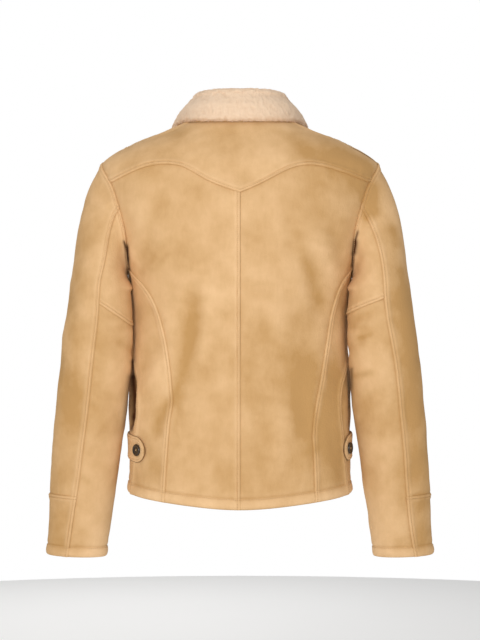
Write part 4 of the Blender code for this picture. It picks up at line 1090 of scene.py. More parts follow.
class CutPiece:
    """A cut piece of hide as a fine grid: its pattern surface, what its edges and folds do to it, and its values.

    The outside stands off the pattern's surface by its edges' profiles, the puckers along them and a slow swell,
    less the folds. The inside lies a hide's thickness below the surface."""

    def __init__(self, name, surface, bottom, top, first, last, side, creases, seed, sleeve=False, extra=None):
        sizes = bpy.context.scene.jacket_sizes
        self.name, self.side = name, side
        self.edges = (bottom, top, first, last)
        width = (length_of(surface, bottom.line) + length_of(surface, top.line)) / 2
        height = (length_of(surface, first.line) + length_of(surface, last.line)) / 2
        across = stations(width, first.kind, last.kind, sizes.cloth_step)
        up = stations(height, bottom.kind, top.kind, sizes.cloth_step)
        domain = patch(
            at_shares(surface, bottom.line, across), at_shares(surface, top.line, across),
            at_shares(surface, first.line, up), at_shares(surface, last.line, up), across, up)
        self.shape = domain.shape[:2]
        base = surface(domain[..., 0], domain[..., 1])
        self.cut = self.cut_size(base)
        profile, second, pucker, nearest, crevice_shade, turned, normals = self.along_edges(
            surface, base, outward(surface, domain[..., 0], domain[..., 1]), seed, sleeve)
        folds, large = self.folds(domain, creases, sleeve)
        folds = folds * sizes.crease_share
        quiet = ease(nearest / QUIET_REACH)
        swell = swell_at(base, SWELL_LENGTH, seed) * sizes.swell * quiet
        small = swell_at(base, SWELL_LENGTH * SMALL_SWELL_LENGTH, seed + 7) * sizes.swell * SMALL_SWELL_SHARE * quiet
        total = profile + second - folds * (QUIET_CREASES + (1 - QUIET_CREASES) * quiet) + swell + small
        total = total + pucker * sizes.pucker
        raised = extra(domain) if extra is not None else 0.0
        self.outer = draw_in(base + normals * (total + raised)[..., None], normals, self.lips(across, up))
        inner = raised - HIDE - turned * TURNING_LIFT - profile.clip(None, 0) * EDGE_THINNING
        self.inner = draw_in(base + normals * inner[..., None], normals)
        self.normals, self.turned = normals, turned
        relief = (swell + small) / RELIEF_SWELL + profile / RELIEF_EDGE
        relief = relief - (folds + large * RELIEF_LARGE_FOLDS) / RELIEF_FOLD
        # The suede's colour values: relief, for painted highlight and shade from the height; painted shade beside the
        # seams; the dark patches with the painted shade strokes; and painted shadow in the deep folds.
        self.values = {
            "relief": np.clip(relief, -RELIEF_LIMIT, RELIEF_LIMIT),
            "crevice_shade": crevice_shade,
            "dark_patches_and_shade": self.dark_patches(base) + self.strokes(base, PAINTED_SHADE_STROKES),
            "deep": self.strokes(base, PAINTED_SHADOW_STROKES),
        }
        self.find_stitches()

    def along_edges(self, surface, base, normals, seed, sleeve):
        """What the edges do to each point: profile, second profile, pucker, distance to the nearest seam, painted shade
        beside the seam, turned-in share, and normals that at an armhole lean halfway to the cloth beyond it."""
        flat = base.reshape(-1, 3)
        own = normals.reshape(-1, 3).copy()
        profile, second, pucker, crevice_shade, turned = np.zeros((5, len(flat)))
        nearest = np.full(len(flat), 0.05)
        for edge in self.edges:
            for number, (kind, line, turns) in enumerate(edge.stretches):
                distance, along = near(flat, surface(line[:, 0], line[:, 1]), EDGE_REACH)
                within = distance < EDGE_REACH
                knots = np.array(PROFILES[kind])
                raised = np.interp(distance, knots[:, 0], knots[:, 1])
                bigger = np.where(np.abs(raised) > np.abs(profile), raised, profile)
                second += (profile + raised - bigger) * SECOND_EDGE_SHARE
                profile = bigger
                crevice_shade = np.maximum(crevice_shade, crevice_shade_at(kind, distance))
                if kind == "hem":
                    turned = np.maximum(turned, 1 - ease((distance - TURNING[0]) / TURNING[1]))
                if kind != "plain":
                    run = along * length_of(surface, line) / (len(line) - 1)
                    wave = ripple(run, PUCKER_LENGTH.get(kind, SEAM_PUCKER_LENGTH), seed + number)
                    fade = np.exp(-np.maximum(distance - PUCKER_FROM, 0) / PUCKER_REACH) * within
                    pucker += wave * fade * ease(distance / PUCKER_FROM)
                    nearest = np.minimum(nearest, distance)
                if turns is not None:
                    shared = shared_armhole_normals(turns)[1 if sleeve else 0]
                    at = unit(values_along(along, np.arange(len(turns)), shared))
                    own = unit(own + (at - own) * ((1 - ease(distance / MITRE_REACH)) * within)[:, None])
        grids = [one.reshape(self.shape) for one in (profile, second, pucker, nearest, crevice_shade, turned)]
        return *grids, own.reshape(*self.shape, 3)

    def folds(self, domain, creases, sleeve):
        """Depth of the small folds, and of the large ones, which are in the surface already."""
        angle, height = domain[..., 0], domain[..., 1]
        if not sleeve:
            angle = SIDES[self.side] * angle
            return [fold_depth(table, angle, height, BODY_GIRTH_RADIUS) for table in (creases, BODY_FOLDS)]
        angle, inside = np.mod(angle, 2 * math.pi), ease(height / SLEEVE_CREASES_FROM)
        return [fold_depth(table, angle, sleeve_height(height), SLEEVE_GIRTH_RADIUS) * inside
                for table in (creases, SLEEVE_FOLDS)]

    def lips(self, across, up):
        """How far each border point moves in: half a seam gap, or out over the neighbour where the edge laps."""
        shifts = []
        for edge, shares in zip(self.edges, (across, across, up, up)):
            shift = np.full(len(shares), SEAM_GAP / 2)
            for kind, line, _ in edge.stretches:
                if kind == "lap":
                    shift[edge.holds(line, shares)] = -LAP_LIP
            shifts.append(shift)
        return shifts

    def strokes(self, base, table):
        """How much of a table's strokes of painted shade falls on each point, as seen from behind, fading out towards
        the front.

        Each is a bell about a line. Where several meet, the most counts in full and the others by a share."""
        reach, height = base[..., 0] * SIDES[self.side], base[..., 2]
        value = np.zeros(self.shape)
        for start_x, start_z, end_x, end_z, half_width, amount in table:
            run_x, run_z = end_x - start_x, end_z - start_z
            along = np.clip(((reach - start_x) * run_x + (height - start_z) * run_z) / (run_x ** 2 + run_z ** 2), 0, 1)
            off = (reach - start_x - along * run_x) ** 2 + (height - start_z - along * run_z) ** 2
            bell = amount * np.exp(-off / half_width ** 2)
            value = np.maximum(value, bell) + SECOND_STROKE_SHARE * np.minimum(value, bell)
        return value * ease((base[..., 1] - STROKES_FROM) / (STROKES_TO - STROKES_FROM))

    def dark_patches(self, base):
        """Darker colour from the listed dark patches."""
        value = np.zeros(self.shape)
        for reach, height, radius, amount in BODY_DARK_PATCHES:
            away = (base[..., 0] * SIDES[self.side] - reach) ** 2 + (base[..., 2] - height) ** 2
            value = value + amount * np.exp(-away / radius ** 2) * (base[..., 1] > DARK_PATCHES_FROM)
        return value

    def cut_size(self, base):
        """Flat width, length and area of the piece, from its longest row, longest column and all its cells."""
        across = np.linalg.norm(np.diff(base, axis=1), axis=-1).sum(axis=1).max()
        up = np.linalg.norm(np.diff(base, axis=0), axis=-1).sum(axis=0).max()
        one, two = base[1:, 1:] - base[:-1, :-1], base[1:, :-1] - base[:-1, 1:]
        area = float(np.linalg.norm(np.cross(one, two), axis=-1).sum() / 2)
        return round(float(across), 3), round(float(up), 3), round(area, 4)

    def find_stitches(self):
        """Stitch lines on the finished outside: where each row or column is the stitch distance from its edge."""
        self.stitch_lines = []
        for edge, axis, flip in zip(self.edges, (0, 0, 1, 1), (False, True, False, True)):
            outer, normals = self.outer, self.normals
            if axis == 0:
                outer, normals = outer.swapaxes(0, 1), normals.swapaxes(0, 1)
            if flip:
                outer, normals = outer[:, ::-1], normals[:, ::-1]
            steps = np.linalg.norm(np.diff(outer, axis=1), axis=-1)
            run = np.concatenate((np.zeros((len(outer), 1)), np.cumsum(steps, axis=1)), axis=1)
            rows = np.arange(len(outer))
            along_edge = run_along(outer[:, 0])
            for kind, line, _ in edge.stretches:
                if kind not in STITCH_FROM_EDGE:
                    continue
                wanted = STITCH_FROM_EDGE[kind]
                cell = np.clip((run < wanted).sum(axis=1) - 1, 0, run.shape[1] - 2)
                part = (wanted - run[rows, cell]) / np.maximum(run[rows, cell + 1] - run[rows, cell], 1e-9)
                part = np.clip(part, 0, 1)[:, None]
                points = outer[rows, cell] * (1 - part) + outer[rows, cell + 1] * part
                kept = edge.holds(line, along_edge / along_edge[-1])
                if kept.sum() > 3:
                    self.stitch_lines.append((points[kept], normals[rows, cell][kept]))


def draw_in(points, normals, shifts=None):
    """Moves the border points of a grid into the piece along its surface: half a seam gap, or each edge's shifts."""
    moved = points.copy()
    borders = (
        ((0, slice(None)), (1, slice(None))),
        ((-1, slice(None)), (-2, slice(None))),
        ((slice(None), 0), (slice(None), 1)),
        ((slice(None), -1), (slice(None), -2)),
    )
    for number, (border, inner) in enumerate(borders):
        line = points[border]
        along = np.gradient(line, axis=0)
        across = unit(np.cross(normals[border], along))
        toward = np.sign(np.sum(across * (points[inner] - line), axis=-1, keepdims=True))
        shift = SEAM_GAP / 2 if shifts is None else shifts[number][:, None]
        moved[border] += across * toward * shift
    return moved


def make_cut_piece(piece, node):
    """The closed wall of a cut piece: suede outside and on its turned-in edges, wool inside."""
    rows, columns = piece.shape
    count = rows * columns
    number = np.arange(count).reshape(rows, columns)
    rim = np.concatenate((number[0, :-1], number[:-1, -1], number[-1, :0:-1], number[:0:-1, 0]))
    after = np.roll(rim, -1)
    outside = grid_faces(rows, columns)
    inside = grid_faces(rows, columns, count)[:, ::-1]
    edge = np.stack((rim, rim + count, after + count, after), -1)
    points = np.concatenate((piece.outer.reshape(-1, 3), piece.inner.reshape(-1, 3))) * mirror(piece.side)
    faces = np.concatenate((outside, inside, edge))
    if volume_of(points, faces) < 0:
        faces = faces[:, ::-1]
    woolly = piece.turned.ravel()[inside[:, 0] - count] <= 0.5
    kinds = np.concatenate((np.zeros(len(outside)), woolly, np.zeros(len(edge))))
    values = {name: np.concatenate((one.ravel(), np.zeros(count))) for name, one in piece.values.items()}
    made = mesh_object(
        piece.name, points, faces,
        (material("napped_suede", napped_suede), material("clipped_wool", clipped_wool, 160.0, 0.0016)),
        kinds, values, sharp=75)
    ride_and_stand_for(made, node)
    width, length, area = piece.cut
    for line, normals in piece.stitch_lines:
        STITCH_LINES.append((line * mirror(piece.side), normals * mirror(piece.side)))


def volume_of(points, faces):
    """Signed volume inside a closed mesh of four-sided faces."""
    a, b, c, d = (points[faces[:, n]] for n in range(4))
    return float((np.cross(a, b) * c).sum() + (np.cross(a, c) * d).sum()) / 6


def surface_of(points, triangles):
    """Surface of a mesh of triangles."""
    a, b, c = (points[triangles[:, n]] for n in range(3))
    return float(np.linalg.norm(np.cross(b - a, c - a), axis=1).sum()) / 2


STITCH_LINES = []


# ---------------------------------------------------------------- body pieces
def mirrored_body(side):
    """The body surface of one side, seen as if on the left, so that each side keeps its own folds."""
    def surface(angle, height):
        return body_point(SIDES[side] * angle, height) * mirror(side)
    return surface


def armhole_stretch(kind, start, end):
    """A stretch of the armhole between two of its angles."""
    turns = np.radians(between(start, end, LINE_SAMPLES))
    return stretch(kind, armhole(np.degrees(turns)), turns)


def hem_between(start, end):
    """The hem between two angles round the body."""
    return stretch("hem", hem(between(start, end, LINE_SAMPLES)))


def make_back(side):
    """A back panel: hem, yoke seam, centre back seam, then princess seam and armhole."""
    arm = armhole_stretch("under", PRINCESS_AT, YOKE_AT)
    princess = down_seam(PRINCESS_SEAM, side, arm[1][0])
    yoke = yoke_seam(side)
    centre = between(hem(np.array(0.0)), yoke[0], LINE_SAMPLES)
    piece = CutPiece(
        "back_panel_" + side, mirrored_body(side), Side(hem_between(0.0, princess[-1][0])),
        Side(stretch("under", yoke)), Side(stretch("lap" if side == "left" else "under", centre)),
        Side(stretch("under", princess[::-1]), arm), side, BODY_CREASES, 11 if side == "left" else 12)
    make_cut_piece(piece, "back_" + side)


def make_side(side):
    """A side panel between princess seam and side seam. It laps over the back."""
    arm = armhole_stretch("under", PRINCESS_AT, UNDERARM_AT)
    princess = down_seam(PRINCESS_SEAM, side, arm[1][0])
    seam = down_seam(SIDE_SEAM, side, arm[1][-1])
    piece = CutPiece(
        "side_panel_" + side, mirrored_body(side), Side(hem_between(princess[-1][0], seam[-1][0])), Side(arm),
        Side(stretch("lap", princess[::-1])), Side(stretch("lap", seam[::-1])), side, BODY_CREASES,
        13 if side == "left" else 14)
    make_cut_piece(piece, "side_" + side)


def make_front(side):
    """A front: side seam and armhole, shoulder seam and neckline, and an edge lapped over the centre.

    The wearer's left front rises over the right one by its own thickness, eased over the lap's run-in."""
    arm = armhole_stretch("under", UNDERARM_AT - 360, SHOULDER_SEAM_AT)
    seam = down_seam(SIDE_SEAM, side, arm[1][0])
    shoulder = shoulder_seam()
    far = math.pi + lap_angle()
    neck = neckline(between(shoulder[-1][0], far, LINE_SAMPLES))
    raised_from, raised_to = lap_start(), math.pi - lap_angle() - math.radians(LAP_MARGIN_ANGLE)

    def rise(domain):
        return (HIDE + LAP_CLEARANCE) * ease((domain[..., 0] - raised_from) / (raised_to - raised_from))
    edge = between(hem(np.array(far)), neckline(np.array(far)), LINE_SAMPLES)
    piece = CutPiece(
        "front_panel_" + side, mirrored_body(side), Side(hem_between(seam[-1][0], far)),
        Side(stretch("under", shoulder), stretch("plain", neck)),
        Side(stretch("under", seam[::-1]), arm), Side(stretch("edge", edge)), side, BODY_CREASES,
        15 if side == "left" else 16, extra=rise if side == "left" else None)
    make_cut_piece(piece, "front_" + side)


def make_yoke():
    """The back yoke, in one piece across both shoulders. It laps over both backs and both fronts."""
    halves = []
    for side in SIDES:
        sign = np.array((SIDES[side], 1))
        shoulder = shoulder_seam()
        neck = neckline(between(0.0, shoulder[-1][0], LINE_SAMPLES))
        halves.append((yoke_seam(side) * sign, neck * sign, shoulder[::-1] * sign))
    (low_left, neck_left, shoulder_left), (low_right, neck_right, shoulder_right) = halves
    kind, arm, turns = armhole_stretch("under", YOKE_AT, SHOULDER_SEAM_AT)
    piece = CutPiece(
        "yoke_panel", body_point, Side(stretch("lap", join(low_right[::-1], low_left))),
        Side(stretch("lap", shoulder_right[::-1]), stretch("plain", join(neck_right[::-1], neck_left)),
             stretch("lap", shoulder_left)),
        Side(stretch(kind, arm * np.array((-1, 1)))), Side(stretch(kind, arm, turns)), "left", BODY_CREASES, 17)
    make_cut_piece(piece, "back_yoke")


# ---------------------------------------------------------------- sleeve pieces
def sleeve_line(station, start, end):
    """A level line round the sleeve."""
    return np.stack((between(start, end, LINE_SAMPLES), np.full(LINE_SAMPLES + 1, station)), axis=-1)


def elbow_line(side):
    """The seam across the under sleeve: lower at the inside of the arm than at its two ends."""
    heights = ELBOW_HEIGHTS[side]
    start = sleeve_seam(side + "_back", 0.0, sleeve_station(heights[0]))[-1]
    end = sleeve_seam("front", 0.0, sleeve_station(heights[2]))[-1] + np.array((2 * math.pi, 0))
    turn = between(start[0], end[0], LINE_SAMPLES)
    return np.stack((turn, sleeve_station(curve_through((start[0], math.pi, end[0]), heights, turn))), axis=-1)


def make_sleeve(side):
    """Four pieces: the top sleeve, cut across near the cuff, and the under sleeve, cut across at the elbow."""
    elbow_back, _, elbow_front = (sleeve_station(height) for height in ELBOW_HEIGHTS[side])
    low, cuff = sleeve_station(LOW_SEAM_HEIGHT), 2.0
    back = side + "_back"
    round_once = np.array((2 * math.pi, 0))
    elbow = elbow_line(side)

    def ring(station, under):
        start = sleeve_seam("front", 0.0, station)[-1][0]
        end = sleeve_seam(back, 0.0, station)[-1][0]
        return sleeve_line(station, end, start + 2 * math.pi) if under else sleeve_line(station, start, end)

    def armhole_edge(start, end):
        turns = np.radians(between(start, end, LINE_SAMPLES))
        return stretch("lap", np.stack((turns, np.zeros(len(turns))), axis=-1), turns)

    front_top = sleeve_seam("front", 0.0, low)
    front_low = sleeve_seam("front", low, cuff)
    seed = 21 if side == "left" else 31
    pieces = (
        ("top_upper", Side(armhole_edge(SLEEVE_FRONT_SEAM_AT, SLEEVE_BACK_SEAM_AT)),
         Side(stretch("under", ring(low, False))), Side(stretch("lap", front_top)),
         Side(stretch("lap", sleeve_seam(back, 0.0, low)))),
        ("top_lower", Side(stretch("lap", ring(low, False))), Side(stretch("hem", ring(cuff, False))),
         Side(stretch("lap", front_low)), Side(stretch("lap", sleeve_seam(back, low, cuff)))),
        ("under_upper", Side(armhole_edge(SLEEVE_BACK_SEAM_AT, SLEEVE_FRONT_SEAM_AT + 360)),
         Side(stretch("lap", elbow)), Side(stretch("under", sleeve_seam(back, 0.0, elbow_back))),
         Side(stretch("under", sleeve_seam("front", 0.0, elbow_front) + round_once))),
        ("under_lower", Side(stretch("under", elbow)), Side(stretch("hem", ring(cuff, True))),
         Side(stretch("under", sleeve_seam(back, elbow_back, cuff))),
         Side(stretch("under", sleeve_seam("front", elbow_front, cuff) + round_once))),
    )
    for number, (name, bottom, top, first, last) in enumerate(pieces):
        piece = CutPiece(f"sleeve_{name}_cloth_{side}", sleeve_point, bottom, top, first, last, side, SLEEVE_CREASES,
                         seed + number, sleeve=True)
        make_cut_piece(piece, f"sleeve_{side}_{name}")


# ---------------------------------------------------------------- collar
def collar_section(angle):
    """The collar cut through at an angle: stand, rolled fold, and a fall that lies on the body."""
    inward, up, edge_height, edge_lift = (
        float(read(COLLAR_SECTIONS, COLLAR_COLUMNS, name, abs(math.degrees(angle)), along="angle"))
        for name in COLLAR_COLUMNS[1:])
    radial = np.array((math.sin(angle), math.cos(angle), 0.0))
    rise = np.array((0.0, 0.0, 1.0))
    seam_angle, seam_height = neckline(np.array(angle))
    seam = body_point(seam_angle, seam_height) + rise * SEAM_GAP
    fold = seam - radial * inward + rise * up
    edge = body_point(angle, edge_height)
    edge_normal = outward(body_point, np.array(angle), np.array(edge_height))
    edge_inner = edge + edge_normal * edge_lift
    edge_outer = edge_inner + edge_normal * COLLAR_EDGE_THICKNESS
    fall_top = fold + radial * COLLAR_ROLL
    edge_round = (edge_inner + edge_outer) / 2 - unit(fall_top - edge_outer) * COLLAR_EDGE_ROUNDING
    fall_middle = (fall_top + edge_outer) / 2 + (radial + rise) * COLLAR_FALL_BULGE
    roll = [fold + COLLAR_ROLL * (math.cos(a) * radial + math.sin(a) * rise) for a in np.linspace(0, math.pi, 7)]
    middle = (fold + seam) / 2
    return np.array([
        seam, middle - radial * COLLAR_SLIT, fold - radial * COLLAR_SLIT, fold + rise * COLLAR_SLIT * 1.5,
        fold + radial * COLLAR_SLIT, (fold + edge_inner) / 2 + radial * COLLAR_SLIT, edge_inner, edge_round, edge_outer,
        fall_middle, *roll, middle - radial * COLLAR_ROLL, seam - radial * HIDE])


COLLAR_CUTS = 97
COLLAR_ALONG = 320
COLLAR_ROUND = 150
COLLAR_END_ROUNDING = 0.010
COLLAR_CURVE = 2.4  # 2 gives the full slope through the section's corners, more a tighter curve
# Places round the collar's section, counted in its corners.
COLLAR_SUEDE_TO = 6.6  # up to here it shows its suede side
COLLAR_EDGE_AT = 7.0
COLLAR_LOCKS_ABOUT = 7.4
COLLAR_FALL_AT = 9
COLLAR_STAND_FROM = 15.5
COLLAR_LOCKS_TO = 16.5


def closed_curve(corners, at):
    """A smooth closed curve through corners (rows of points): a cubic on each stretch, with slopes from the corners
    either side."""
    count = corners.shape[-2]
    cell = np.floor(at).astype(int) % count
    part = (at - np.floor(at))[:, None]
    here, after = corners[..., cell, :], corners[..., (cell + 1) % count, :]
    before, beyond = corners[..., (cell - 1) % count, :], corners[..., (cell + 2) % count, :]
    slope_here, slope_after = (after - before) / COLLAR_CURVE, (beyond - here) / COLLAR_CURVE
    return ((2 * part ** 3 - 3 * part ** 2 + 1) * here + (part ** 3 - 2 * part ** 2 + part) * slope_here
            + (3 * part ** 2 - 2 * part ** 3) * after + (part ** 3 - part ** 2) * slope_after)


def make_collar():
    """The turned-down collar: its section carried round the neck, lumpy where the wool is outside.

    The lumps are three swells of 12, 6 and 5 mm, lower on the stand. Between them, and at the edge, it is darker:
    painted shade in the hollows and painted shadow along the edge."""
    sizes = bpy.context.scene.jacket_sizes
    corners = np.array([collar_section(angle) for angle in np.linspace(-lap_start(), lap_start(), COLLAR_CUTS)])
    fine = np.linspace(0, COLLAR_CUTS - 1, COLLAR_ALONG)
    cell = np.clip(fine.astype(int), 0, COLLAR_CUTS - 2)
    part = (fine - cell)[:, None, None]
    corners = corners[cell] * (1 - part) + corners[cell + 1] * part
    at = np.linspace(0, corners.shape[1], COLLAR_ROUND, endpoint=False)
    shape = closed_curve(corners, at)
    centre = shape.mean(axis=1, keepdims=True)
    run = run_along(corners[:, COLLAR_FALL_AT])
    share = np.clip(1 - np.minimum(run, run[-1] - run) / COLLAR_END_ROUNDING, 0, 1)
    shrink = np.sqrt(np.clip(1 - share ** 2, 0.0, 1))[:, None, None]
    shape = centre + (shape - centre) * np.maximum(shrink, 0.02)
    along = np.gradient(shape, axis=0)
    around = np.roll(shape, -1, axis=1) - np.roll(shape, 1, axis=1)
    normals = unit(np.cross(along, around))
    if (normals * (shape - centre)).sum() < 0:
        normals = -normals
    woolly = (at >= COLLAR_SUEDE_TO)[None, :]
    on_stand = ease((at - COLLAR_STAND_FROM) / 2)[None, :]
    lumps = (swell_at(shape, 0.0125, 41, 40) * 0.55 + swell_at(shape, 0.0062, 42, 40) * 0.35
             + swell_at(shape * np.array((1.0, 1.0, 0.35)), 0.005, 43, 40) * 0.30)
    lift = woolly * (0.25 + lumps * 0.8) * sizes.wool_lift * (1 - 0.4 * on_stand) * shrink[..., 0]
    shape = shape + normals * lift[..., None]
    # Painted shade in the hollows between the lumps, and painted shadow along the fall's edge.
    crevice_shade = np.clip(0.45 * (0.25 - lumps), 0, 1) * woolly
    near_edge = np.exp(-((at - COLLAR_EDGE_AT) / 0.9) ** 2)[None, :]
    crevice_shade = np.clip(crevice_shade + near_edge * (0.35 + 0.5 * swell_at(shape, 0.009, 44)), 0, 1)
    points, triangles = closed_tube(shape, np.concatenate((centre[0], centre[-1])))
    suede_side = np.tile(at < COLLAR_SUEDE_TO, COLLAR_ALONG - 1)
    kinds = np.concatenate((suede_side, suede_side, np.zeros(2 * COLLAR_ROUND)))
    collar = mesh_object(
        "collar_wool", points, triangles,
        (material("collar_wool", clipped_wool, 210.0, 0.0011), material("napped_suede", napped_suede)),
        kinds, {"crevice_shade": np.concatenate((crevice_shade.ravel(), (0, 0)))})
    ride_and_stand_for(collar, "collar")
    area = surface_of(points, triangles) / 2
    locks = make_locks(shape, normals, at, sizes)


def make_locks(shape, normals, at, sizes):
    """Loose locks of wool: short tapered spikes of three sides, bent down the pile, rooted in the collar's wool.

    Each leaves along the normal plus a seeded lean, and its tip sinks by a seeded droop. More grow at the edge."""
    chance = np.random.default_rng(5)
    count = sizes.lock_count
    weights = np.where((at > COLLAR_SUEDE_TO + 0.1) & (at < COLLAR_LOCKS_TO), 1.0, 0.0)
    weights = weights + np.exp(-((at - COLLAR_LOCKS_ABOUT) / 0.8) ** 2) * 5.0
    weights[at < COLLAR_SUEDE_TO] = 0.0
    columns = chance.choice(len(at), count, p=weights / weights.sum())
    rows = chance.integers(4, len(shape) - 4, count)
    root, normal = shape[rows, columns], normals[rows, columns]
    along = unit(np.gradient(shape, axis=0))[rows, columns]
    down = unit(np.cross(normal, along))
    down = down * np.where(down[:, 2:3] > 0, -1, 1)
    jitter = chance.normal(size=(count, 3))
    root = root + along * jitter[:, :1] * 0.0006 + down * jitter[:, 1:2] * 0.0004 - normal * 0.0004
    edge = np.exp(-((at[columns] - COLLAR_LOCKS_ABOUT) / 0.9) ** 2)[:, None]
    way = unit(normal * (0.55 + 0.2 * jitter[:, :1]) + down * (0.55 + 0.3 * edge) + along * jitter[:, 2:3] * 0.45)
    length = sizes.lock_length * chance.uniform(0.45, 1.0, (count, 1)) * (0.75 + 0.25 * edge)
    width = sizes.lock_length * chance.uniform(0.07, 0.14, (count, 1))
    middle = root + way * length * 0.55
    tip = root + unit(way + down * 0.7 + along * jitter[:, 1:2] * 0.4) * length
    side_way = unit(np.cross(way, normal + 1e-3))
    third = unit(np.cross(way, side_way))
    rings = []
    for centre, size in ((root, 1.0), (middle, 0.8)):
        for spin in (0.0, 2 * math.pi / 3, 4 * math.pi / 3):
            rings.append(centre + (side_way * math.cos(spin) + third * math.sin(spin)) * width * size)
    points = np.stack((*rings, tip), axis=1).reshape(-1, 3)
    one = np.array(((0, 1, 4), (0, 4, 3), (1, 2, 5), (1, 5, 4), (2, 0, 3), (2, 3, 5), (3, 4, 6), (4, 5, 6), (5, 3, 6),
                    (0, 2, 1)))
    # Painted shade at the locks' roots, fading to none at their tips.
    shade = np.tile(np.array((0.55, 0.55, 0.55, 0.15, 0.15, 0.15, 0.0)), count)
    locks = mesh_object("collar_locks", points, many(one, 7, count),
                        (material("wool_locks", clipped_wool, 300.0, 0.0004),), values={"crevice_shade": shade})
    ride_and_stand_for(locks, None)
    return locks


# ---------------------------------------------------------------- tabs and buttons
def seat_on_body(side, angle, height):
    """A point of the body with its normal and two directions along the cloth, on the wearer's left or mirrored."""
    surface = mirrored_body(side)
    seat = surface(np.array(angle), np.array(height))
    normal = outward(surface, np.array(angle), np.array(height))
    first = unit(np.cross((0.0, 0.0, 1.0), normal))
    return [one * mirror(side) for one in (seat, normal, first, np.cross(normal, first))]


TAB_RUN_STEPS = 90
TAB_ROUND_STEPS = 64
TAB_STITCH_IN = 0.0045
TAB_GROOVE = (0.0006, 0.0009)  # depth and half width, about the stitching
TAB_SWELL = 0.0007
TAB_CURL = 0.0014
TAB_CURL_REACH = 0.030


def tab_height(angle):
    """The middle of the tab at an angle round the body: parallel to the hem."""
    return hem(angle)[..., 1] + TAB_ABOVE_HEM


def tab_half_width(run):
    """Half the tab's width at a run from its round end: a half circle, then parallel edges."""
    share = np.clip(1 - run / TAB_HALF_WIDTH, 0, 1)
    return TAB_HALF_WIDTH * np.sqrt(np.clip(1 - share ** 2, 0, 1))


def tab_curl(run):
    """How far the tab's round end curls off the body, at a run from that end."""
    return TAB_CURL * (1 - ease(run / TAB_CURL_REACH)) ** 2


def make_tab(side):
    """A tab lying on the body: a flattened oval section, swelling a little between edge and stitching, carried
    from the round end to the sewn-down front end. The round end curls off the body."""
    surface = mirrored_body(side)
    total = math.radians(TAB_LENGTH_ANGLE) * BODY_GIRTH_RADIUS
    run = total * between(0, 1, TAB_RUN_STEPS)[:, None] ** 1.6
    around = np.linspace(0, 2 * math.pi, TAB_ROUND_STEPS, endpoint=False)
    flat, thick = np.cos(around), np.sin(around)
    flat = np.sign(flat) * np.abs(flat) ** 0.55
    thick = np.sign(thick) * np.abs(thick) ** 0.38
    half = np.maximum(tab_half_width(run), 0.0006)
    angle = math.radians(TAB_BACK_ANGLE[side]) + run / BODY_GIRTH_RADIUS
    height = tab_height(angle) + half * flat
    base, normals = surface(angle, height), outward(surface, angle, height)
    inset = np.minimum(half * (1 - np.abs(flat)), run)
    groove = TAB_GROOVE[0] * np.exp(-((inset - TAB_STITCH_IN) / TAB_GROOVE[1]) ** 2)
    swell = TAB_SWELL * ease(inset / 0.003) * (1 - ease((inset - 0.006) / 0.008))
    rounded = ease((inset + 0.0002) / 0.0016) ** 0.5
    top = (TAB_THICKNESS * rounded + swell - groove) * np.clip(thick, 0, 1)
    lift = TAB_LIFT + tab_curl(run) + TAB_THICKNESS * 0.5 * (1 - rounded) * (thick < 0.5) + top
    shape = (base + normals * lift[..., None]) * mirror(side)
    points, triangles = closed_tube(shape, shape[[0, -1]].mean(axis=1))
    # Painted shadow round the tab's edge where it meets the body; the relief value paints highlight on its swell and
    # shade in its stitching groove.
    tab_edge_shadow = np.concatenate(((1 - ease(inset / 0.002)).ravel(), (1.0, 0.0)))
    relief = np.concatenate((((swell - groove) / 0.0010).ravel(), (0, 0)))
    tab = mesh_object("tab_strap_" + side, points, triangles, (material("napped_suede", napped_suede),),
                      values={"crevice_shade": tab_edge_shadow * 0.5, "relief": relief, "deep": tab_edge_shadow * 0.45})
    ride_and_stand_for(tab, "tab_" + side)
    add_tab_stitches(side, total)


def add_tab_stitches(side, total):
    """One stitch line round the tab, a stitch distance in from its edge: along it, round its end, and back."""
    reach = TAB_HALF_WIDTH - TAB_STITCH_IN
    bend = np.linspace(-math.pi / 2, math.pi / 2, 60)
    straight = np.linspace(total, TAB_HALF_WIDTH, 60)[:-1]
    run = np.concatenate((straight, TAB_HALF_WIDTH - reach * np.cos(bend), straight[::-1]))
    offset = np.concatenate((np.full(59, -reach), reach * np.sin(bend), np.full(59, reach)))
    surface = mirrored_body(side)
    angle = math.radians(TAB_BACK_ANGLE[side]) + run / BODY_GIRTH_RADIUS
    height = tab_height(angle) + offset
    normals = outward(surface, angle, height)
    line = surface(angle, height) + normals * (TAB_LIFT + TAB_THICKNESS - 0.0001 + tab_curl(run))[:, None]
    STITCH_LINES.append((line * mirror(side), normals * mirror(side)))


# Half of a button's outline, from the middle of its back round its rim to the middle of its face: shares of its
# radius and of its thickness.
BUTTON_OUTLINE = ((0.0, 0.02), (0.60, 0.0), (0.86, 0.10), (0.97, 0.34), (1.0, 0.58), (0.975, 0.80), (0.91, 0.95),
                  (0.82, 1.0), (0.74, 0.95), (0.66, 0.80), (0.56, 0.70), (0.30, 0.67), (0.0, 0.66))
BUTTON_RINGS = 61
BUTTON_SPOKES = 56
BUTTON_FACE_FROM = 6  # corner of the outline
BUTTON_DISH = 0.66
BUTTON_POLE = 0.00002  # the radius kept at the middle of back and face
BUTTON_THREAD_RISE = 0.0006
BUTTON_THREAD_BOW = 0.0005


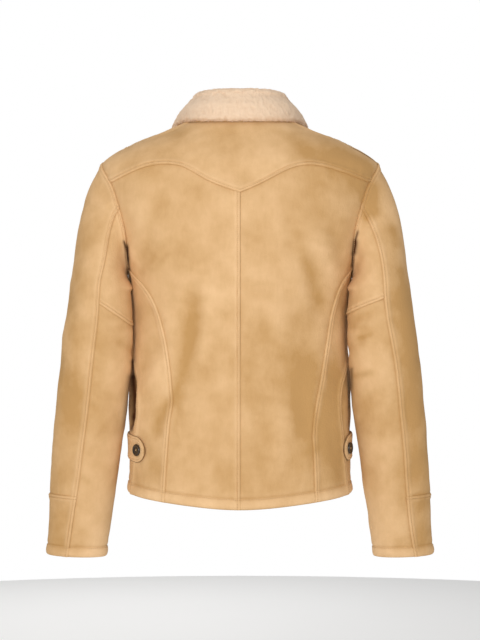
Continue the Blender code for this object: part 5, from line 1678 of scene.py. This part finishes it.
def make_button(name, node, side, angle, height, lift):
    """A turned button: its outline spun round, dished in the middle, with four pits for the holes and two
    crossed-over strands of thread in them."""
    seat, normal, first, second = seat_on_body(side, angle, height)
    outline = np.array(BUTTON_OUTLINE)
    steps = np.linspace(0, len(outline) - 1, BUTTON_RINGS)
    radius, rise = values_along(steps, np.arange(len(outline)), outline).T
    radius, rise = radius * BUTTON_RADIUS, rise * BUTTON_THICKNESS
    radius[0] = radius[-1] = BUTTON_POLE
    spin = np.linspace(0, 2 * math.pi, BUTTON_SPOKES, endpoint=False)
    across, up = radius[:, None] * np.cos(spin), radius[:, None] * np.sin(spin)
    pits = np.zeros(across.shape)
    for corner in range(4):
        turn = math.radians(45 + 90 * corner)
        away = np.hypot(across - BUTTON_HOLE_REACH * math.cos(turn), up - BUTTON_HOLE_REACH * math.sin(turn))
        pits = np.maximum(pits, 1 - ease((away - BUTTON_HOLE_RADIUS * 0.7) / (BUTTON_HOLE_RADIUS * 0.6)))
    rise_at = rise[:, None] - pits * (steps > BUTTON_FACE_FROM)[:, None] * BUTTON_THICKNESS * 0.5
    shape = seat + normal * (lift + rise_at)[..., None] + across[..., None] * first + up[..., None] * second
    points, triangles = closed_tube(shape, [seat + normal * (lift + end) for end in rise[[0, -1]]])
    button = mesh_object(name, points, triangles, (material("dark_horn", dark_horn),), sharp=50)
    ride_and_stand_for(button, node)
    floor = lift + BUTTON_THICKNESS * BUTTON_DISH
    for corner in range(2):
        turn = math.radians(45 + 90 * corner)
        start, end = (seat + normal * (floor - BUTTON_THREAD_RISE) + (first * math.cos(turn) + second * math.sin(turn))
                      * BUTTON_HOLE_REACH * way for way in (-1, 1))
        middle, bow = seat + normal * (floor + BUTTON_THREAD_RISE), normal * BUTTON_THREAD_BOW
        BUTTON_THREADS.append(np.array((start, (start + middle) / 2 + bow, middle, (end + middle) / 2 + bow, end)))


BUTTON_THREADS = []
THREAD_SIDES = 6
STITCH_RINGS = 5
STRAND_RINGS = 17
STITCH_UNEVENNESS = 0.00012


def strand(line, radius):
    """A closed tube of thread along a line of points."""
    along = unit(np.gradient(line, axis=0))
    side_way = unit(np.cross(along, (0.31, 0.22, 0.92)))
    third = np.cross(along, side_way)
    spin = np.linspace(0, 2 * math.pi, THREAD_SIDES, endpoint=False)[None, :, None]
    ring = side_way[:, None] * np.cos(spin) + third[:, None] * np.sin(spin)
    return (line[:, None] + ring * radius).reshape(-1, 3)


def thread_faces(rings):
    """Triangles of one closed tube of thread."""
    fan = np.arange(1, THREAD_SIDES - 1)
    cap = np.stack((np.zeros(len(fan), int), fan + 1, fan), -1)
    far = (rings - 1) * THREAD_SIDES
    return np.concatenate((in_threes(tube_faces(rings, THREAD_SIDES)), cap, cap[:, ::-1] + far))


def make_threads(name, points, rings):
    """One piece of like tubes of thread, points in order."""
    count = len(points) // (rings * THREAD_SIDES)
    threads = mesh_object(name, points, many(thread_faces(rings), rings * THREAD_SIDES, count),
                          (material("sewing_thread", sewing_thread),))
    ride_and_stand_for(threads, None)


def make_stitching():
    """Every stitch line's stitches: each a short bowed spindle of thread whose two ends go into the cloth. The
    buttons' strands of thread come after them."""
    sizes = bpy.context.scene.jacket_sizes
    centres, alongs, normals = [], [], []
    chance = np.random.default_rng(3)
    for line, normal in STITCH_LINES:
        run = run_along(line)
        count = int(run[-1] / sizes.stitch_pitch)
        if count < 2:
            continue
        at = (np.arange(count) + 0.5) * run[-1] / count + chance.normal(0, STITCH_UNEVENNESS, count)
        centres.append(values_along(at, run, line))
        alongs.append(unit(values_along(at + 0.001, run, line) - values_along(at - 0.001, run, line)))
        normals.append(unit(values_along(at, run, normal)))
    centre, along, normal = (np.concatenate(part)[:, None, None] for part in (centres, alongs, normals))
    across = unit(np.cross(along, normal))
    spread = np.linspace(-1, 1, STITCH_RINGS)[None, :, None, None]
    spin = np.linspace(0, 2 * math.pi, THREAD_SIDES, endpoint=False)[None, None, :, None]
    thick = sizes.thread_radius * np.sqrt(np.maximum(1 - spread ** 2 * 0.86, 0.0))
    bow = sizes.thread_radius * (1.15 - 1.6 * spread ** 2)
    points = (centre + along * spread * sizes.stitch_length / 2 + normal * bow
              + (across * np.cos(spin) + normal * np.sin(spin)) * thick)
    make_threads("stitching", points.reshape(-1, 3), STITCH_RINGS)
    strands = [strand(curve_points(line, STRAND_RINGS), sizes.thread_radius * 1.1) for line in BUTTON_THREADS]
    make_threads("button_threads", np.concatenate(strands), STRAND_RINGS)


def curve_points(line, count):
    """The smooth curve through a line's points."""
    knots = np.arange(len(line))
    return np.stack([curve_through(knots, line[:, n], np.linspace(0, len(line) - 1, count)) for n in range(3)], -1)


# ---------------------------------------------------------------- operators
class JACKET_OT_body(Operator):
    """Makes the yoke, the backs, the side panels and the fronts"""
    bl_idname = "jacket.body"
    bl_label = "Body panels"

    def execute(self, context):
        make_yoke()
        for side in SIDES:
            make_back(side)
            make_side(side)
            make_front(side)
        return {"FINISHED"}


class JACKET_OT_sleeves(Operator):
    """Makes the four pieces of each sleeve"""
    bl_idname = "jacket.sleeves"
    bl_label = "Sleeves"

    def execute(self, context):
        for side in SIDES:
            make_sleeve(side)
        return {"FINISHED"}


class JACKET_OT_collar(Operator):
    """Makes the wool collar and its loose locks"""
    bl_idname = "jacket.collar"
    bl_label = "Collar"

    def execute(self, context):
        make_collar()
        return {"FINISHED"}


class JACKET_OT_tabs(Operator):
    """Makes the two side tabs"""
    bl_idname = "jacket.tabs"
    bl_label = "Side tabs"

    def execute(self, context):
        for side in SIDES:
            make_tab(side)
        return {"FINISHED"}


class JACKET_OT_buttons(Operator):
    """Makes the tab buttons and the front buttons"""
    bl_idname = "jacket.buttons"
    bl_label = "Buttons"

    def execute(self, context):
        for side in SIDES:
            angle = math.radians(TAB_BACK_ANGLE[side] + BUTTON_FROM_TAB_END)
            make_button("horn_tab_button_" + side, "tab_button_" + side, side, angle,
                        float(tab_height(np.array(angle))), TAB_LIFT + TAB_THICKNESS + BUTTON_LIFT)
        for number, height in enumerate(FRONT_BUTTON_HEIGHTS, start=1):
            make_button(f"horn_front_button_{number}", f"front_button_{number}", "left", math.pi, height,
                        HIDE + LAP_CLEARANCE + BUTTON_LIFT)
        return {"FINISHED"}


class JACKET_OT_stitching(Operator):
    """Sews every stitch line that the other pieces have laid down"""
    bl_idname = "jacket.stitching"
    bl_label = "Stitching"

    def execute(self, context):
        make_stitching()
        return {"FINISHED"}


CAMERA_DISTANCE = 3.0
CAMERA_HEIGHT = -0.3434
CAMERA_LENS = 99.26
FLOOR_HEIGHT = -1.15
FLOOR_RADIUS = 2.6
FLOOR_SPOKES = 96
# Soft square lights: name, place, side, power in watts, and colour.
LIGHTS = (
    ("key", (0.6, 2.7, 0.0), 1.3, 39.0, (1.0, 0.985, 0.96)),
    ("fill", (-2.0, 2.0, 0.1), 1.8, 8.0, (1.0, 0.99, 0.97)),
    ("front", (0.4, -2.4, 0.6), 1.6, 22.0, (1.0, 0.99, 0.98)),
    ("top", (0.2, 0.6, 2.0), 1.4, 6.0, (1.0, 0.99, 0.97)),
)
LIGHTS_AIM = (0.0, 0.0, -0.35)
SKY = 0.47


class JACKET_OT_stage(Operator):
    """Sets up the floor, the soft lights, the sky and the camera"""
    bl_idname = "jacket.stage"
    bl_label = "Stage"

    def execute(self, context):
        scene = context.scene
        scene.view_settings.view_transform = "Standard"
        make_floor()
        make_sky(scene)
        for name, place, size, power, colour in LIGHTS:
            light = bpy.data.lights.new(name, "AREA")
            light.shape = "SQUARE"
            light.size = size
            light.energy = power
            light.color = colour
            lamp = bpy.data.objects.new(name, light)
            lamp.location = place
            way = np.array(LIGHTS_AIM) - np.array(place)
            lamp.rotation_euler = (math.acos(-way[2] / np.linalg.norm(way)), 0.0,
                                   math.atan2(way[1], way[0]) - math.pi / 2)
            scene.collection.objects.link(lamp)
        lens = bpy.data.cameras.new("camera")
        lens.lens = CAMERA_LENS
        lens.clip_end = 50.0
        camera = bpy.data.objects.new("camera", lens)
        camera.location = (0.0, CAMERA_DISTANCE, CAMERA_HEIGHT)
        camera.rotation_euler = (math.radians(90), 0.0, math.radians(180))
        scene.collection.objects.link(camera)
        scene.camera = camera
        return {"FINISHED"}


def make_floor():
    """A round pale floor with a soft rim: rings of a share of the radius, and how much each drops."""
    spin = np.linspace(0, 2 * math.pi, FLOOR_SPOKES, endpoint=False)
    rings = ((0.0001, 0.0), (0.5, 0.0), (0.985, 0.0), (0.997, -0.004), (1.0, -0.012), (0.99, -0.03), (0.0001, -0.03))
    points = np.concatenate([np.stack((radius * FLOOR_RADIUS * np.cos(spin), radius * FLOOR_RADIUS * np.sin(spin),
                                       np.full(FLOOR_SPOKES, FLOOR_HEIGHT + drop)), -1) for radius, drop in rings])
    g = Graph("pale_floor")
    tone = g.noise(g.place(), 3.0, 2.0)
    g.finish({"Base Color": g.blend((0.5 + tone * 0.2).clamped(), (0.93, 0.93, 0.925), (0.96, 0.96, 0.955))},
             {"Roughness": 0.8})
    floor = mesh_object("floor", points, tube_faces(len(rings), FLOOR_SPOKES)[:, ::-1], (g.material,), sharp=60)


def make_sky(scene):
    """An even pale surround: white where it is seen, softer as a light."""
    world = bpy.data.worlds.new("surround")
    scene.world = world
    world.use_nodes = True
    nodes, links = world.node_tree.nodes, world.node_tree.links
    shade = nodes["Background"]
    shade.inputs["Color"].default_value = (1.0, 1.0, 1.0, 1.0)
    seen = nodes.new("ShaderNodeLightPath")
    mix = nodes.new("ShaderNodeMix")
    mix.inputs[2].default_value = SKY
    mix.inputs[3].default_value = 1.0
    links.new(seen.outputs["Is Camera Ray"], mix.inputs[0])
    links.new(mix.outputs[0], shade.inputs["Strength"])


class JACKET_PT_panel(Panel):
    """Lists the jacket's pieces and settings"""
    bl_idname = "JACKET_PT_panel"
    bl_label = "Suede jacket"
    bl_space_type = "VIEW_3D"
    bl_region_type = "UI"
    bl_category = "Jacket"

    def draw(self, context):
        layout = self.layout
        for operator in OPERATORS:
            layout.operator(operator.bl_idname)
        for group in (context.scene.jacket_sizes, context.scene.jacket_colours):
            box = layout.box()
            for name in group.__annotations__:
                box.prop(group, name)


OPERATORS = (JACKET_OT_stage, JACKET_OT_body, JACKET_OT_sleeves, JACKET_OT_collar, JACKET_OT_tabs, JACKET_OT_buttons,
             JACKET_OT_stitching)
CLASSES = (JacketSizes, JacketColours, *OPERATORS, JACKET_PT_panel)


def register():
    for one in CLASSES:
        bpy.utils.register_class(one)
    bpy.types.Scene.jacket_sizes = PointerProperty(type=JacketSizes)
    bpy.types.Scene.jacket_colours = PointerProperty(type=JacketColours)


def unregister():
    del bpy.types.Scene.jacket_sizes
    del bpy.types.Scene.jacket_colours
    for one in reversed(CLASSES):
        bpy.utils.unregister_class(one)


def main():
    register()
    bpy.ops.jacket.stage()
    bpy.ops.jacket.body()
    bpy.ops.jacket.sleeves()
    bpy.ops.jacket.collar()
    bpy.ops.jacket.tabs()
    bpy.ops.jacket.buttons()
    bpy.ops.jacket.stitching()


if __name__ == "__main__":
    main()
